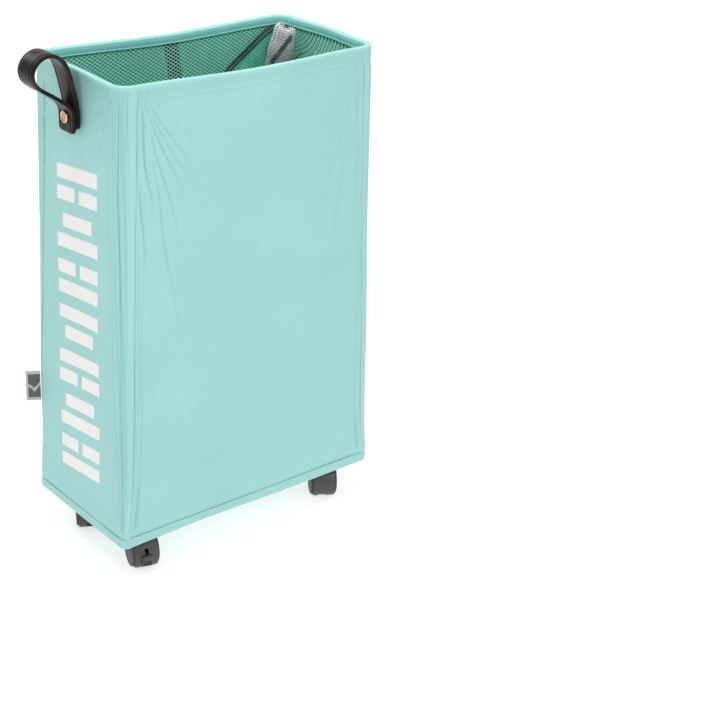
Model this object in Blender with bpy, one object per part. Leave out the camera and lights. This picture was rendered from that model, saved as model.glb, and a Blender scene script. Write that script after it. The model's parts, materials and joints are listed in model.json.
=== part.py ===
"""Slim rolling laundry hamper: a soft fabric bag on a wire hoop, four corner rods,
a base board on four twin-wheel casters, and one leather pull loop.

Units are metres, +Z is up.  +X runs along the bag's long side, away from the handle,
and +Y from the front long wall to the back one.  The origin is on the ground, below
the middle of the whole object's bounding box.
"""
import math

import bmesh
import bpy
from mathutils import Matrix, Vector

MM = 0.001
GAP = 0.3 * MM  # clearance left between touching pieces
BORE_PLAY = 0.1 * MM  # radial play of a pin in its bore

# Driving dimensions of the bag (outer outline at the rim and at the base)
RIM_LENGTH = 333 * MM
RIM_WIDTH = 168 * MM
RIM_CORNER = 20 * MM
BASE_LENGTH = 356 * MM
BASE_WIDTH = 181 * MM
BASE_CORNER = 11 * MM
RIM_Z = 560 * MM
BASE_Z = 43 * MM
RIM_SAG = 3.4 * MM  # the hoop droops this much in the middle of a long side
RIM_CROWN = 1.5 * MM  # and rises this much in the middle of a short side
FABRIC = 1.0 * MM

# Rim: the wall is rolled inward over a wire hoop and ends in a short inner flange
HOOP_WIRE = 1.6 * MM
FERRULE_BORE = 1.9 * MM
FERRULE_RADIUS = 2.5 * MM
FERRULE_LENGTH = 36 * MM
ROLL_BORE = 2.8 * MM
ROLL_RADIUS = ROLL_BORE + FABRIC
FLANGE_DROP = 10.5 * MM

# Base: folded fabric cover, stiff board and foam floor pad
COVER_HEIGHT = 10 * MM
BOARD_THICKNESS = 4.0 * MM
PAD_THICKNESS = 12.0 * MM
PAD_CORNER = 30 * MM
COVER_FLOOR_Z = BASE_Z + FABRIC
BOARD_Z = COVER_FLOOR_Z + GAP
PAD_Z = BOARD_Z + BOARD_THICKNESS + GAP
PAD_TOP_Z = PAD_Z + PAD_THICKNESS

# Corner rods with their sleeves, caps and sockets
ROD_RADIUS = 2.0 * MM
SLEEVE_BORE = 2.4 * MM
SLEEVE_RADIUS = 3.4 * MM
CAP_RADIUS = 3.6 * MM
ROD_WALL_GAP = 0.5 * MM
ROD_BOTTOM_Z = 52 * MM
ROD_TOP_Z = 543.5 * MM

# Mesh liner that hangs inside the rim
LINER_THICKNESS = 0.8 * MM
LINER_DROP = 200 * MM
LINER_CORNER = 20 * MM

# Handle
HANDLE_WIDTH = 29 * MM
HANDLE_THICKNESS = 4.2 * MM
RIVET_Z = 512.5 * MM
RIVET_HEAD = 6.4 * MM
RIVET_POST = 2.0 * MM

# Casters
WHEEL_RADIUS = 19 * MM
WHEEL_WIDTH = 10 * MM
WHEEL_SPACING = 5.8 * MM  # from the middle plane to a wheel's inner face
WHEEL_SIDES = 24
TRAIL = 15 * MM
SWIVEL_X = 134 * MM
SWIVEL_Y = 53 * MM
AXLE_RADIUS = 2.0 * MM
STEM_RADIUS = 3.5 * MM
STEM_FOOT_Z = 15 * MM
STEM_TOP_Z = 58.2 * MM
STEM_COLLAR_RADIUS = 8 * MM
STEM_COLLAR_LOW = 41.6 * MM
STEM_COLLAR_HIGH = BASE_Z - GAP
THREAD_RADIUS = 4.0 * MM
THREAD_HOLE = THREAD_RADIUS + GAP
THREAD_CHAMFER = 0.6 * MM
HOOD_INNER = 19.9 * MM
HOOD_OUTER = 21.2 * MM
HOOD_HALF_WIDTH = 13.4 * MM
WEB_RADIUS = 20.6 * MM
WEB_HALF_WIDTH = 5.3 * MM
BOSS_RADIUS = 7.5 * MM
BOSS_LOW = 37.3 * MM
BOSS_HIGH = STEM_COLLAR_LOW - GAP
NUT_ACROSS_FLATS = 13 * MM
NUT_FLANGE_RADIUS = 8.5 * MM
NUT_FLANGE_HEIGHT = 1.5 * MM
NUT_HEIGHT = 7 * MM

# Brake lever: a neck in the hood's slot and a pad that lies on the hood
NECK_HALF_WIDTH = 1.9 * MM
NECK_HUB_RADIUS = 4.6 * MM
NECK_RADIUS = 22.6 * MM
PAD_HALF_WIDTH = 5.8 * MM
PAD_INNER_RADIUS = 21.7 * MM
PAD_OUTER_RADIUS = 24.2 * MM
SLOT_HALF_WIDTH = 2.3 * MM
SLOT_HUB_RADIUS = 5.3 * MM
SLOT_RADIUS = 24 * MM

# Where each caster stands and how its axle is turned about Z at rest, in degrees
CASTERS = {
    "front_left": (-1, -1, -17),
    "front_right": (1, -1, -31),
    "back_left": (-1, 1, -28),
    "back_right": (1, 1, -24),
}
BRAKED = ("front_left", "back_left")

# The handle stands out at -X, so the bag is moved along +X to centre the bounding box
HANDLE_REACH = 219.5 * MM + HANDLE_THICKNESS / 2
BAG_X = (HANDLE_REACH - BASE_LENGTH / 2) / 2

TEAL = (0.39, 0.70, 0.66)
MESH_TEAL = (0.20, 0.47, 0.41)
GREY_MESH = (0.55, 0.56, 0.58)
BLACK = (0.02, 0.02, 0.022)
CHARCOAL = (0.06, 0.06, 0.06)
STEEL = (0.55, 0.56, 0.58)
BRASS = (0.72, 0.42, 0.22)
BOARD = (0.30, 0.31, 0.32)
WEBBING = (0.05, 0.055, 0.055)
TAG_GREY = (0.16, 0.16, 0.17)


# ---------------------------------------------------------------- helpers

def material(name, colour, roughness, metallic=0.0):
    """Get or make a Principled material."""
    found = bpy.data.materials.get(name)
    if found:
        return found
    made = bpy.data.materials.new(name)
    made.use_nodes = True
    shader = made.node_tree.nodes["Principled BSDF"]
    shader.inputs["Base Color"].default_value = (*colour, 1.0)
    shader.inputs["Roughness"].default_value = roughness
    shader.inputs["Metallic"].default_value = metallic
    return made


def add_object(name, bm, mat, parent=None, smooth=True):
    """Turn a bmesh into a named object with outward faces."""
    bmesh.ops.recalc_face_normals(bm, faces=bm.faces)
    mesh = bpy.data.meshes.new(name)
    bm.to_mesh(mesh)
    bm.free()
    if smooth:
        mesh.shade_smooth()
        mesh.set_sharp_from_angle(angle=math.radians(35))
    if mat:
        mesh.materials.append(mat)
    obj = bpy.data.objects.new(name, mesh)
    bpy.context.scene.collection.objects.link(obj)
    obj.parent = parent
    return obj


def empty(name, location, yaw=0.0):
    obj = bpy.data.objects.new(name, None)
    obj.location = location
    obj.rotation_euler = (0, 0, yaw)
    bpy.context.scene.collection.objects.link(obj)
    return obj


def combine(target, tool, operation):
    """Boolean another object into the target and keep the tool as a hidden guide."""
    tool.hide_render = True
    tool.display_type = "WIRE"
    modifier = target.modifiers.new(f"{operation.lower()} {tool.name}", "BOOLEAN")
    modifier.operation = operation
    modifier.solver = "EXACT"
    modifier.object = tool


def loft(rings, close_profile=False, cap_ends=False):
    """Skin rings of equal length; optionally join last to first or cap both ends."""
    bm = bmesh.new()
    rows = [[bm.verts.new(point) for point in ring] for ring in rings]
    pairs = list(zip(rows, rows[1:]))
    if close_profile:
        pairs.append((rows[-1], rows[0]))
    count = len(rows[0])
    for low, high in pairs:
        for i in range(count):
            j = (i + 1) % count
            bm.faces.new((low[i], low[j], high[j], high[i]))
    if cap_ends:
        bm.faces.new(list(reversed(rows[0])))
        bm.faces.new(rows[-1])
    return bm


def lathe(profile, sides, phase=0.0):
    """Turn a closed (radius, z) profile about Z; points of radius 0 close on the axis."""
    bm = bmesh.new()
    rows = []
    for radius, z in profile:
        if radius == 0:
            rows.append([bm.verts.new((0, 0, z))])
            continue
        turns = [(i + phase) * math.tau / sides for i in range(sides)]
        ring = [(radius * math.cos(t), radius * math.sin(t), z) for t in turns]
        rows.append([bm.verts.new(point) for point in ring])
    pairs = list(zip(rows, rows[1:]))
    if len(rows[0]) > 1:
        pairs.append((rows[-1], rows[0]))
    for first, second in pairs:
        for i in range(sides):
            j = (i + 1) % sides
            corners = [first[i % len(first)], first[j % len(first)]]
            corners += [second[j % len(second)], second[i % len(second)]]
            bm.faces.new(list(dict.fromkeys(corners)))
    return bm


def cylinder(radius, low, high, sides=24):
    return lathe([(0, low), (radius, low), (radius, high), (0, high)], sides)


def prism(outline, half_width):
    """Extrude a closed (y, z) outline along X to both sides of the middle plane."""
    sides = [[(x, y, z) for y, z in outline] for x in (-half_width, half_width)]
    return loft(sides, cap_ends=True)


def bounded(low, high, steps):
    return [low + (high - low) * i / steps for i in range(steps + 1)]


def mix(low, high, share):
    return low + (high - low) * share


def bag_ring(height, inset, corner=None, sag_share=None):
    """A rounded rectangle around the bag at a height, set in from its outer face.

    It starts in the middle of the back wall and runs anticlockwise seen from above.
    The rim's sag fades out towards the base.
    """
    share = (height - BASE_Z) / (RIM_Z - BASE_Z)
    half_x = mix(BASE_LENGTH, RIM_LENGTH, share) / 2 - inset
    half_y = mix(BASE_WIDTH, RIM_WIDTH, share) / 2 - inset
    radius = mix(BASE_CORNER, RIM_CORNER, share) - inset if corner is None else corner
    flat_x = half_x - radius
    flat_y = half_y - radius
    sag = share ** 3 if sag_share is None else sag_share
    points = []

    def straight(start, end, steps, drop):
        for i in range(steps):
            t = i / steps
            z = height - drop * sag * math.sin(math.pi * t) ** 2
            points.append((mix(start[0], end[0], t), mix(start[1], end[1], t), z))

    def arc(centre_x, centre_y, start_angle):
        for i in range(6):
            angle = math.radians(start_angle + 90 * i / 6)
            x = centre_x + radius * math.cos(angle)
            y = centre_y + radius * math.sin(angle)
            points.append((x, y, height))

    straight((flat_x, half_y), (-flat_x, half_y), 8, RIM_SAG)
    arc(-flat_x, flat_y, 90)
    straight((-half_x, flat_y), (-half_x, -flat_y), 4, -RIM_CROWN)
    arc(-flat_x, -flat_y, 180)
    straight((-flat_x, -half_y), (flat_x, -half_y), 8, RIM_SAG)
    arc(flat_x, -flat_y, 270)
    straight((half_x, -flat_y), (half_x, flat_y), 4, -RIM_CROWN)
    arc(flat_x, flat_y, 0)
    middle = 4
    return [(x + BAG_X, y, z) for x, y, z in points[middle:] + points[:middle]]


def corner_point(sign_x, sign_y, height, outer_inset, depth):
    """A point on a bag corner's diagonal, a depth inside the face at outer_inset."""
    share = (height - BASE_Z) / (RIM_Z - BASE_Z)
    radius = mix(BASE_CORNER, RIM_CORNER, share)
    reach = (radius - outer_inset - depth) / math.sqrt(2)
    x = mix(BASE_LENGTH, RIM_LENGTH, share) / 2 - radius + reach
    y = mix(BASE_WIDTH, RIM_WIDTH, share) / 2 - radius + reach
    return Vector((sign_x * x + BAG_X, sign_y * y, height))


# ---------------------------------------------------------------- soft parts

def make_bag_shell(mat):
    """Four walls as one sewn tube, its top rolled inward over the hoop."""
    outside = FABRIC + GAP  # the base cover laps over the wall's lower end
    low = BOARD_Z
    heights = [low, 200 * MM, 380 * MM, 500 * MM, 540 * MM]

    def wall_inset(z):
        return outside * max(0.0, 1 - (z - low) / (200 * MM - low))

    roll_z = RIM_Z - ROLL_RADIUS
    turns = [math.radians(180 - 36 * i) for i in range(6)]
    rings = [bag_ring(z, wall_inset(z)) for z in heights]

    def roll(radius, angles):
        for angle in angles:
            inset = ROLL_RADIUS + radius * math.cos(angle)
            ring = bag_ring(roll_z, inset, sag_share=1.0)
            lift = radius * math.sin(angle)
            rings.append([(x, y, z + lift) for x, y, z in ring])

    flange_z = RIM_Z - FLANGE_DROP
    roll(ROLL_RADIUS, turns)
    rings.append(bag_ring(flange_z, 2 * ROLL_RADIUS, sag_share=1.0))
    rings.append(bag_ring(flange_z, 2 * ROLL_RADIUS - FABRIC, sag_share=1.0))
    roll(ROLL_BORE, reversed(turns))
    rings += [bag_ring(z, wall_inset(z) + FABRIC) for z in reversed(heights)]
    shell = add_object("bag_shell", loft(rings, close_profile=True), mat)
    drill = cylinder(RIVET_POST + GAP, -10 * MM, 10 * MM, 12)
    hole = add_object("shell_rivet_hole", drill, None)
    hole.rotation_euler = (0, math.pi / 2, 0)
    hole.location = (wall_x(RIVET_Z), 0, RIVET_Z)
    combine(shell, hole, "DIFFERENCE")


def wall_x(height):
    """X of the handle-side wall's outer face."""
    share = (height - BASE_Z) / (RIM_Z - BASE_Z)
    return BAG_X - mix(BASE_LENGTH, RIM_LENGTH, share) / 2


def drill_caster_holes(target, radius, low, high):
    for name, (sign_x, sign_y, _) in CASTERS.items():
        drill = add_object(f"{target.name}_drill_{name}", cylinder(radius, low, high, 16), None)
        drill.location = (sign_x * SWIVEL_X + BAG_X, sign_y * SWIVEL_Y, 0)
        combine(target, drill, "DIFFERENCE")


def make_bottom_cover(mat):
    """Shallow fabric tray under the board, folded up around the walls' lower edge."""
    top = BASE_Z + COVER_HEIGHT
    edge = 1.5 * MM
    rings = [bag_ring(BASE_Z, edge, sag_share=0), bag_ring(BASE_Z + edge, 0, sag_share=0)]
    rings.append(bag_ring(top, 0, sag_share=0))
    rings.append(bag_ring(top, FABRIC, sag_share=0))
    rings.append(bag_ring(COVER_FLOOR_Z, FABRIC, sag_share=0))
    cover = add_object("bottom_cover", loft(rings, cap_ends=True), mat)
    drill_caster_holes(cover, THREAD_HOLE, BASE_Z - 5 * MM, COVER_FLOOR_Z + 5 * MM)


def make_base_board(mat):
    inset = 2 * FABRIC + 3 * GAP
    rings = [bag_ring(z, inset, sag_share=0) for z in (BOARD_Z, BOARD_Z + BOARD_THICKNESS)]
    board = add_object("base_board", loft(rings, cap_ends=True), mat, smooth=False)
    drill_caster_holes(board, THREAD_HOLE, BOARD_Z - 5 * MM, PAD_Z + 5 * MM)


def make_floor_pad(mat):
    """Foam pad; blind pockets in its underside take the caster nuts."""
    edge = 1.5 * MM
    inset = 4.2 * MM
    levels = [(PAD_Z, inset), (PAD_TOP_Z - edge, inset), (PAD_TOP_Z, inset + edge)]
    rings = [bag_ring(z, reach, corner=PAD_CORNER, sag_share=0) for z, reach in levels]
    pad = add_object("floor_pad", loft(rings, cap_ends=True), mat)
    drill_caster_holes(pad, 10 * MM, PAD_Z - 5 * MM, STEM_TOP_Z + GAP)


def make_mesh_liner(mat):
    """Net that lines the upper walls, hanging from the rim's inner flange."""
    top = RIM_Z - FLANGE_DROP - GAP
    low = top - LINER_DROP
    front = 2 * ROLL_RADIUS - FABRIC
    back = front + LINER_THICKNESS
    middle = 480 * MM
    rings = [bag_ring(z, front, LINER_CORNER, 0.0) for z in (low, middle)]
    rings.append(bag_ring(top, front, LINER_CORNER, 1.0))
    rings.append(bag_ring(top, back, LINER_CORNER, 1.0))
    rings += [bag_ring(z, back, LINER_CORNER, 0.0) for z in (middle, low)]
    add_object("mesh_liner", loft(rings, close_profile=True), mat)


def make_cover_bunch(mat):
    """The drawstring cover, pushed down as a loose gather in the back right corner."""
    stations = [(552, 8, 9), (545, 12, 14), (505, 14, 16), (460, 14, 16), (425, 10, 12)]
    centre = Vector((137.5 * MM + BAG_X, 50.5 * MM, 0))
    rings = []
    for z, half_long, half_deep in stations:
        ring = []
        for i in range(12):
            angle = math.tau * i / 12
            along = half_long * MM * math.cos(angle)
            across = 0.62 * half_deep * MM * math.sin(angle)
            turned = Vector((along, across, 0)) @ Matrix.Rotation(math.radians(45), 3, "Z")
            ring.append(centre + turned + Vector((0, 0, z * MM)))
        rings.append(ring)
    add_object("mesh_cover_bunch", loft(rings, cap_ends=True), mat)


def ribbon(name, points, width_vector, thickness_vector, mat):
    """A flat strip through points, as wide and thick as the two vectors say."""
    rings = []
    for point in points:
        low = Vector(point) - width_vector / 2
        high = Vector(point) + width_vector / 2
        rings.append([low, high, high + thickness_vector, low + thickness_vector])
    return add_object(name, loft(rings, cap_ends=True), mat, smooth=False)


def make_inner_tapes(webbing):
    """Closing strap behind the liner, and the cover's cord casing across its face."""
    inset = FABRIC + GAP + 1.8 * MM
    lean = 0.17  # X travel per unit of height
    strap = []
    for z in bounded(360 * MM, 545 * MM, 3):
        share = (z - BASE_Z) / (RIM_Z - BASE_Z)
        y = mix(BASE_WIDTH, RIM_WIDTH, share) / 2 - inset
        strap.append((BAG_X + 6 * MM + (545 * MM - z) * lean, y, z))
    thickness = Vector((0, 1.4 * MM, 0))
    ribbon("wall_strap", strap, Vector((18 * MM, 0, 0)), thickness, webbing)

    face_y = 73.6 * MM
    casing = [(62, 492), (75, 503), (92, 516), (112, 530), (126, 540)]
    points = [(BAG_X + x * MM, face_y, z * MM) for x, z in casing]
    across = Vector((4.2 * MM, 0, -5.2 * MM))
    ribbon("cord_casing", points, across, Vector((0, 1.2 * MM, 0)), webbing)


def make_side_tag(mat):
    """Small folded woven tag sewn into the back left corner seam."""
    height = 37 * MM
    reach = 17 * MM
    angle = math.radians(150)
    direction = Vector((math.cos(angle), math.sin(angle), 0))
    low_z = 155 * MM
    share = (low_z - BASE_Z) / (RIM_Z - BASE_Z)
    radius = mix(BASE_CORNER, RIM_CORNER, share)
    centre_x = BAG_X - mix(BASE_LENGTH, RIM_LENGTH, share) / 2 + radius
    centre_y = mix(BASE_WIDTH, RIM_WIDTH, share) / 2 - radius
    root = Vector((centre_x, centre_y, 0)) + direction * (radius + GAP)
    side = direction.cross(Vector((0, 0, 1))) * 1.2 * MM
    rings = []
    for z in (low_z, low_z + height):
        lift = Vector((0, 0, z))
        corners = [root - side / 2, root + direction * reach - side / 2]
        corners += [root + direction * reach + side / 2, root + side / 2]
        rings.append([corner + lift for corner in corners])
    add_object("side_tag", loft(rings, cap_ends=True), mat, smooth=False)


# ---------------------------------------------------------------- frame

def sweep(path, radius, sides):
    """Round wire along a nearly level path."""
    rings = []
    for i, point in enumerate(path):
        before = Vector(path[max(i - 1, 0)])
        after = Vector(path[min(i + 1, len(path) - 1)])
        ahead = (after - before).normalized()
        side = ahead.cross(Vector((0, 0, 1))).normalized()
        up = side.cross(ahead)
        turns = [math.tau * k / sides for k in range(sides)]
        spokes = [side * math.cos(t) + up * math.sin(t) for t in turns]
        rings.append([Vector(point) + spoke * radius for spoke in spokes])
    return loft(rings, cap_ends=True)


def make_rim_hoop(steel):
    """Bent wire hoop; its two ends meet inside a crimped ferrule in the back wall."""
    ring = bag_ring(RIM_Z - ROLL_RADIUS, ROLL_RADIUS, sag_share=1.0)
    start = Vector(ring[0])
    half_gap = Vector((0.3 * MM, 0, 0))
    path = [start - half_gap] + ring[1:] + [start + half_gap]
    add_object("rim_hoop", sweep(path, HOOP_WIRE, 8), steel)
    profile = [(FERRULE_BORE, -FERRULE_LENGTH / 2), (FERRULE_RADIUS, -FERRULE_LENGTH / 2)]
    profile += [(FERRULE_RADIUS, FERRULE_LENGTH / 2), (FERRULE_BORE, FERRULE_LENGTH / 2)]
    ferrule = add_object("hoop_ferrule", lathe(profile, 12), steel)
    ferrule.rotation_euler = (0, math.pi / 2, 0)
    ferrule.location = start


def make_corner_rods(steel, plastic, fabric):
    """Rod, fabric sleeve, hooked top cap and base socket in each corner."""
    depth = ROD_WALL_GAP + SLEEVE_RADIUS
    for name, (sign_x, sign_y, _) in CASTERS.items():
        foot = corner_point(sign_x, sign_y, ROD_BOTTOM_Z, 2 * FABRIC + GAP, depth)
        head = corner_point(sign_x, sign_y, ROD_TOP_Z, FABRIC, depth)
        length = (head - foot).length
        frame = empty(f"rod_axis_{name}", foot)
        frame.rotation_mode = "QUATERNION"
        frame.rotation_quaternion = (head - foot).to_track_quat("Z", "Y")

        rod = cylinder(ROD_RADIUS, 0, length, 12)
        add_object(f"support_rod_{name}", rod, steel, frame)

        bore = ROD_RADIUS + GAP
        socket_top = 15 * MM
        cup = [(0, -2.6 * MM), (CAP_RADIUS, -2.6 * MM), (CAP_RADIUS, socket_top)]
        cup += [(bore, socket_top), (bore, -GAP), (0, -GAP)]
        add_object(f"rod_socket_{name}", lathe(cup, 14), plastic, frame)

        cap_low = length - 13 * MM
        cap = [(0, length + GAP), (bore, length + GAP), (bore, cap_low), (CAP_RADIUS, cap_low)]
        cap += [(CAP_RADIUS, length + 2.6 * MM), (CAP_RADIUS - 1 * MM, length + 4.0 * MM)]
        cap.append((0, length + 4.0 * MM))
        add_object(f"rod_cap_{name}", lathe(cap, 14), plastic, frame)

        low = socket_top + GAP
        high = cap_low - GAP
        tube = [(SLEEVE_BORE, low), (SLEEVE_RADIUS, low)]
        tube += [(SLEEVE_RADIUS, high), (SLEEVE_BORE, high)]
        add_object(f"rod_sleeve_{name}", lathe(tube, 12), fabric, frame)


# ---------------------------------------------------------------- handle

def handle_path():
    """Centre line of the strap in X and Z: wall leg, loop and riveted outer flap."""
    points = [(-170.4, 500.5), (-170.4, 520.0), (-173.2, 537.0), (-179.5, 562.0)]
    points += [(-185.8, 573.5), (-194.8, 579.5), (-204.8, 580.0), (-214.3, 574.5)]
    points += [(-219.5, 565.0), (-217.9, 555.5), (-211.3, 548.0), (-199.8, 540.5)]
    points += [(-188.8, 533.0), (-180.6, 526.5), (-176.1, 519.0), (-175.6, 508.5)]
    points += [(-175.6, 496.5)]
    knots = [Vector((x * MM + BAG_X, 0, z * MM)) for x, z in points]
    path = []
    padded = [2 * knots[0] - knots[1]] + knots + [2 * knots[-1] - knots[-2]]
    for a, b, c, d in zip(padded, padded[1:], padded[2:], padded[3:]):
        for t in (0.0, 0.5):
            smooth = b + (c - a) * t / 2
            smooth += (2 * a - 5 * b + 4 * c - d) * t ** 2 / 2
            smooth += (3 * b - a - 3 * c + d) * t ** 3 / 2
            path.append(smooth)
    return path + [knots[-1]]


def make_handle(leather, brass, steel):
    path = handle_path()
    travelled = [0.0]
    for a, b in zip(path, path[1:]):
        travelled.append(travelled[-1] + (b - a).length)
    rounding = 5.5 * MM
    rings = []
    for i, point in enumerate(path):
        ahead = (path[min(i + 1, len(path) - 1)] - path[max(i - 1, 0)]).normalized()
        normal = ahead.cross(Vector((0, 1, 0))) * HANDLE_THICKNESS / 2
        end_distance = min(travelled[i], travelled[-1] - travelled[i])
        short = max(0.0, rounding - end_distance)
        half = HANDLE_WIDTH / 2 - rounding + math.sqrt(rounding ** 2 - short ** 2)
        side = Vector((0, half, 0))
        rings.append([point + normal - side, point + normal + side])
        rings[-1] += [point - normal + side, point - normal - side]
    strap = add_object("handle_strap", loft(rings, cap_ends=True), leather)
    wall = wall_x(RIVET_Z)
    drill = cylinder(RIVET_POST + GAP, -20 * MM, 20 * MM, 12)
    hole = add_object("strap_rivet_hole", drill, None)
    hole.rotation_euler = (0, math.pi / 2, 0)
    hole.location = (wall - 5 * MM, 0, RIVET_Z)
    combine(strap, hole, "DIFFERENCE")

    # Rivet: domed head outside the flap, post through strap and wall, washer inside
    outer = wall - 10.9 * MM
    inner = wall + 4.0 * MM
    reach = inner - outer
    head = [(0, -1.8 * MM), (3.4 * MM, -1.6 * MM), (5.6 * MM, -1.0 * MM), (RIVET_HEAD, 0)]
    head += [(RIVET_POST, 0), (RIVET_POST, reach), (0, reach)]
    rivet = add_object("handle_rivet", lathe(head, 16), brass)
    rivet.rotation_euler = (0, math.pi / 2, 0)
    rivet.location = (outer, 0, RIVET_Z)
    plate = [(RIVET_POST + GAP, 0), (6 * MM, 0), (6 * MM, 1.2 * MM), (RIVET_POST + GAP, 1.2 * MM)]
    washer = add_object("rivet_washer", lathe(plate, 16), steel)
    washer.rotation_euler = (0, math.pi / 2, 0)
    washer.location = (wall + FABRIC + 0.5 * MM, 0, RIVET_Z)


# ---------------------------------------------------------------- casters

def polar(radius, degrees):
    """A (y, z) point around the axle; 0 degrees is straight back, 90 straight up."""
    angle = math.radians(degrees)
    return (-TRAIL - radius * math.cos(angle), WHEEL_RADIUS + radius * math.sin(angle))


def arc_points(radius, start, end, steps):
    return [polar(radius, degrees) for degrees in bounded(start, end, steps)]


def on_axle(obj):
    """Lay a turned piece along the axle."""
    obj.rotation_euler = (0, math.pi / 2, 0)
    obj.location = (0, -TRAIL, WHEEL_RADIUS)
    return obj


def make_housing(name, frame, mat, braked):
    """Hood over both wheels, joined to a middle web and the stem boss."""
    nose = [(4.5, 39.3), (6, 37.8), (6, 16), (3, 10), (-6, 4), (-15, 2.8)]  # mm, stem side
    web = arc_points(WEB_RADIUS, -50, 78, 10) + [(y * MM, z * MM) for y, z in nose]
    housing = add_object(f"caster_housing_{name}", prism(web, WEB_HALF_WIDTH), mat, frame)
    fender = arc_points(HOOD_OUTER, -52, 118, 14) + arc_points(HOOD_INNER, 118, -52, 14)
    hood = add_object(f"hood_shape_{name}", prism(fender, HOOD_HALF_WIDTH), None, frame)
    combine(housing, hood, "UNION")
    boss = cylinder(BOSS_RADIUS, BOSS_LOW, BOSS_HIGH, 20)
    combine(housing, add_object(f"boss_shape_{name}", boss, None, frame), "UNION")
    bore = cylinder(STEM_RADIUS + BORE_PLAY, STEM_FOOT_Z - 1 * MM, STEM_TOP_Z, 32)
    combine(housing, add_object(f"stem_bore_{name}", bore, None, frame), "DIFFERENCE")
    bore = cylinder(AXLE_RADIUS + BORE_PLAY, -9 * MM, 9 * MM, 16)
    combine(housing, on_axle(add_object(f"axle_bore_{name}", bore, None, frame)), "DIFFERENCE")
    if braked:
        pocket = arc_points(SLOT_RADIUS, -38, 20, 5) + arc_points(SLOT_HUB_RADIUS, 55, 292, 10)
        slot = add_object(f"lever_slot_{name}", prism(pocket, SLOT_HALF_WIDTH), None, frame)
        combine(housing, slot, "DIFFERENCE")


def make_wheel(name, frame, mat, side):
    """A twin's single wheel with a blind bore, flat underneath at its resting turn."""
    rim = WHEEL_RADIUS / math.cos(math.pi / WHEEL_SIDES)
    bore = AXLE_RADIUS + 0.15 * MM
    width = WHEEL_WIDTH  # the blind bore ends 2 mm short of the outer face
    profile = [(0, width - 2 * MM), (bore, width - 2 * MM), (bore, 0), (rim - 1.3 * MM, 0)]
    profile += [(rim, 1.3 * MM), (rim, width - 1.5 * MM), (rim - 1.7 * MM, width), (0, width)]
    wheel = add_object(name, lathe(profile, WHEEL_SIDES, phase=0.5), mat, frame)
    wheel.rotation_euler = (0, side * math.pi / 2, 0)
    wheel.location = (side * WHEEL_SPACING, -TRAIL, WHEEL_RADIUS)


def make_brake_lever(name, frame, mat):
    """Rocker on the axle: its neck runs in the hood's slot, its pad lies on the hood."""
    neck = arc_points(NECK_RADIUS, -28, -10, 2) + arc_points(NECK_HUB_RADIUS, 30, 286, 10)
    lever = add_object(f"brake_lever_{name}", prism(neck, NECK_HALF_WIDTH), mat, frame)
    pad = arc_points(PAD_OUTER_RADIUS, -31, 5, 4) + arc_points(PAD_INNER_RADIUS, 5, -31, 4)
    pad_shape = add_object(f"lever_pad_{name}", prism(pad, PAD_HALF_WIDTH), None, frame)
    combine(lever, pad_shape, "UNION")
    eye = cylinder(AXLE_RADIUS + 2 * BORE_PLAY, -5 * MM, 5 * MM, 16)
    combine(lever, on_axle(add_object(f"lever_eye_{name}", eye, None, frame)), "DIFFERENCE")


def make_caster(name, spot, plastic, tyre, steel):
    sign_x, sign_y, yaw = spot
    foot = (sign_x * SWIVEL_X + BAG_X, sign_y * SWIVEL_Y, 0)
    frame = empty(f"swivel_axis_{name}", foot, math.radians(yaw))
    make_housing(name, frame, plastic, name in BRAKED)

    stem = [(0, STEM_FOOT_Z), (STEM_RADIUS, STEM_FOOT_Z), (STEM_RADIUS, STEM_COLLAR_LOW)]
    stem += [(STEM_COLLAR_RADIUS, STEM_COLLAR_LOW), (STEM_COLLAR_RADIUS, STEM_COLLAR_HIGH)]
    stem += [(THREAD_RADIUS, STEM_COLLAR_HIGH), (THREAD_RADIUS, STEM_TOP_Z - THREAD_CHAMFER)]
    stem += [(THREAD_RADIUS - THREAD_CHAMFER, STEM_TOP_Z), (0, STEM_TOP_Z)]
    add_object(f"caster_stem_{name}", lathe(stem, 32), steel, frame)

    axle_half = WHEEL_SPACING + WHEEL_WIDTH - 2.4 * MM
    axle = cylinder(AXLE_RADIUS, -axle_half, axle_half, 16)
    on_axle(add_object(f"caster_axle_{name}", axle, steel, frame))
    make_wheel(f"caster_wheel_{name}_a", frame, tyre, -1)
    make_wheel(f"caster_wheel_{name}_b", frame, tyre, 1)
    make_flange_nut(name, frame, steel)
    if name in BRAKED:
        make_brake_lever(name, frame, plastic)


def make_flange_nut(name, frame, steel):
    """Hexagon nut with a built-in washer, holding a stem on top of the board."""
    corner_radius = NUT_ACROSS_FLATS / 2 / math.cos(math.pi / 6)
    low = BOARD_Z + BOARD_THICKNESS + GAP
    flange = cylinder(NUT_FLANGE_RADIUS, low, low + NUT_FLANGE_HEIGHT, 20)
    nut = add_object(f"caster_nut_{name}", flange, steel, frame)
    hexagon = cylinder(corner_radius, low + 0.5 * MM, low + NUT_HEIGHT, 6)
    combine(nut, add_object(f"nut_hexagon_{name}", hexagon, None, frame), "UNION")
    bore = cylinder(THREAD_HOLE, low - 5 * MM, low + 15 * MM, 16)
    combine(nut, add_object(f"nut_bore_{name}", bore, None, frame), "DIFFERENCE")


# ---------------------------------------------------------------- assembly

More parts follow.
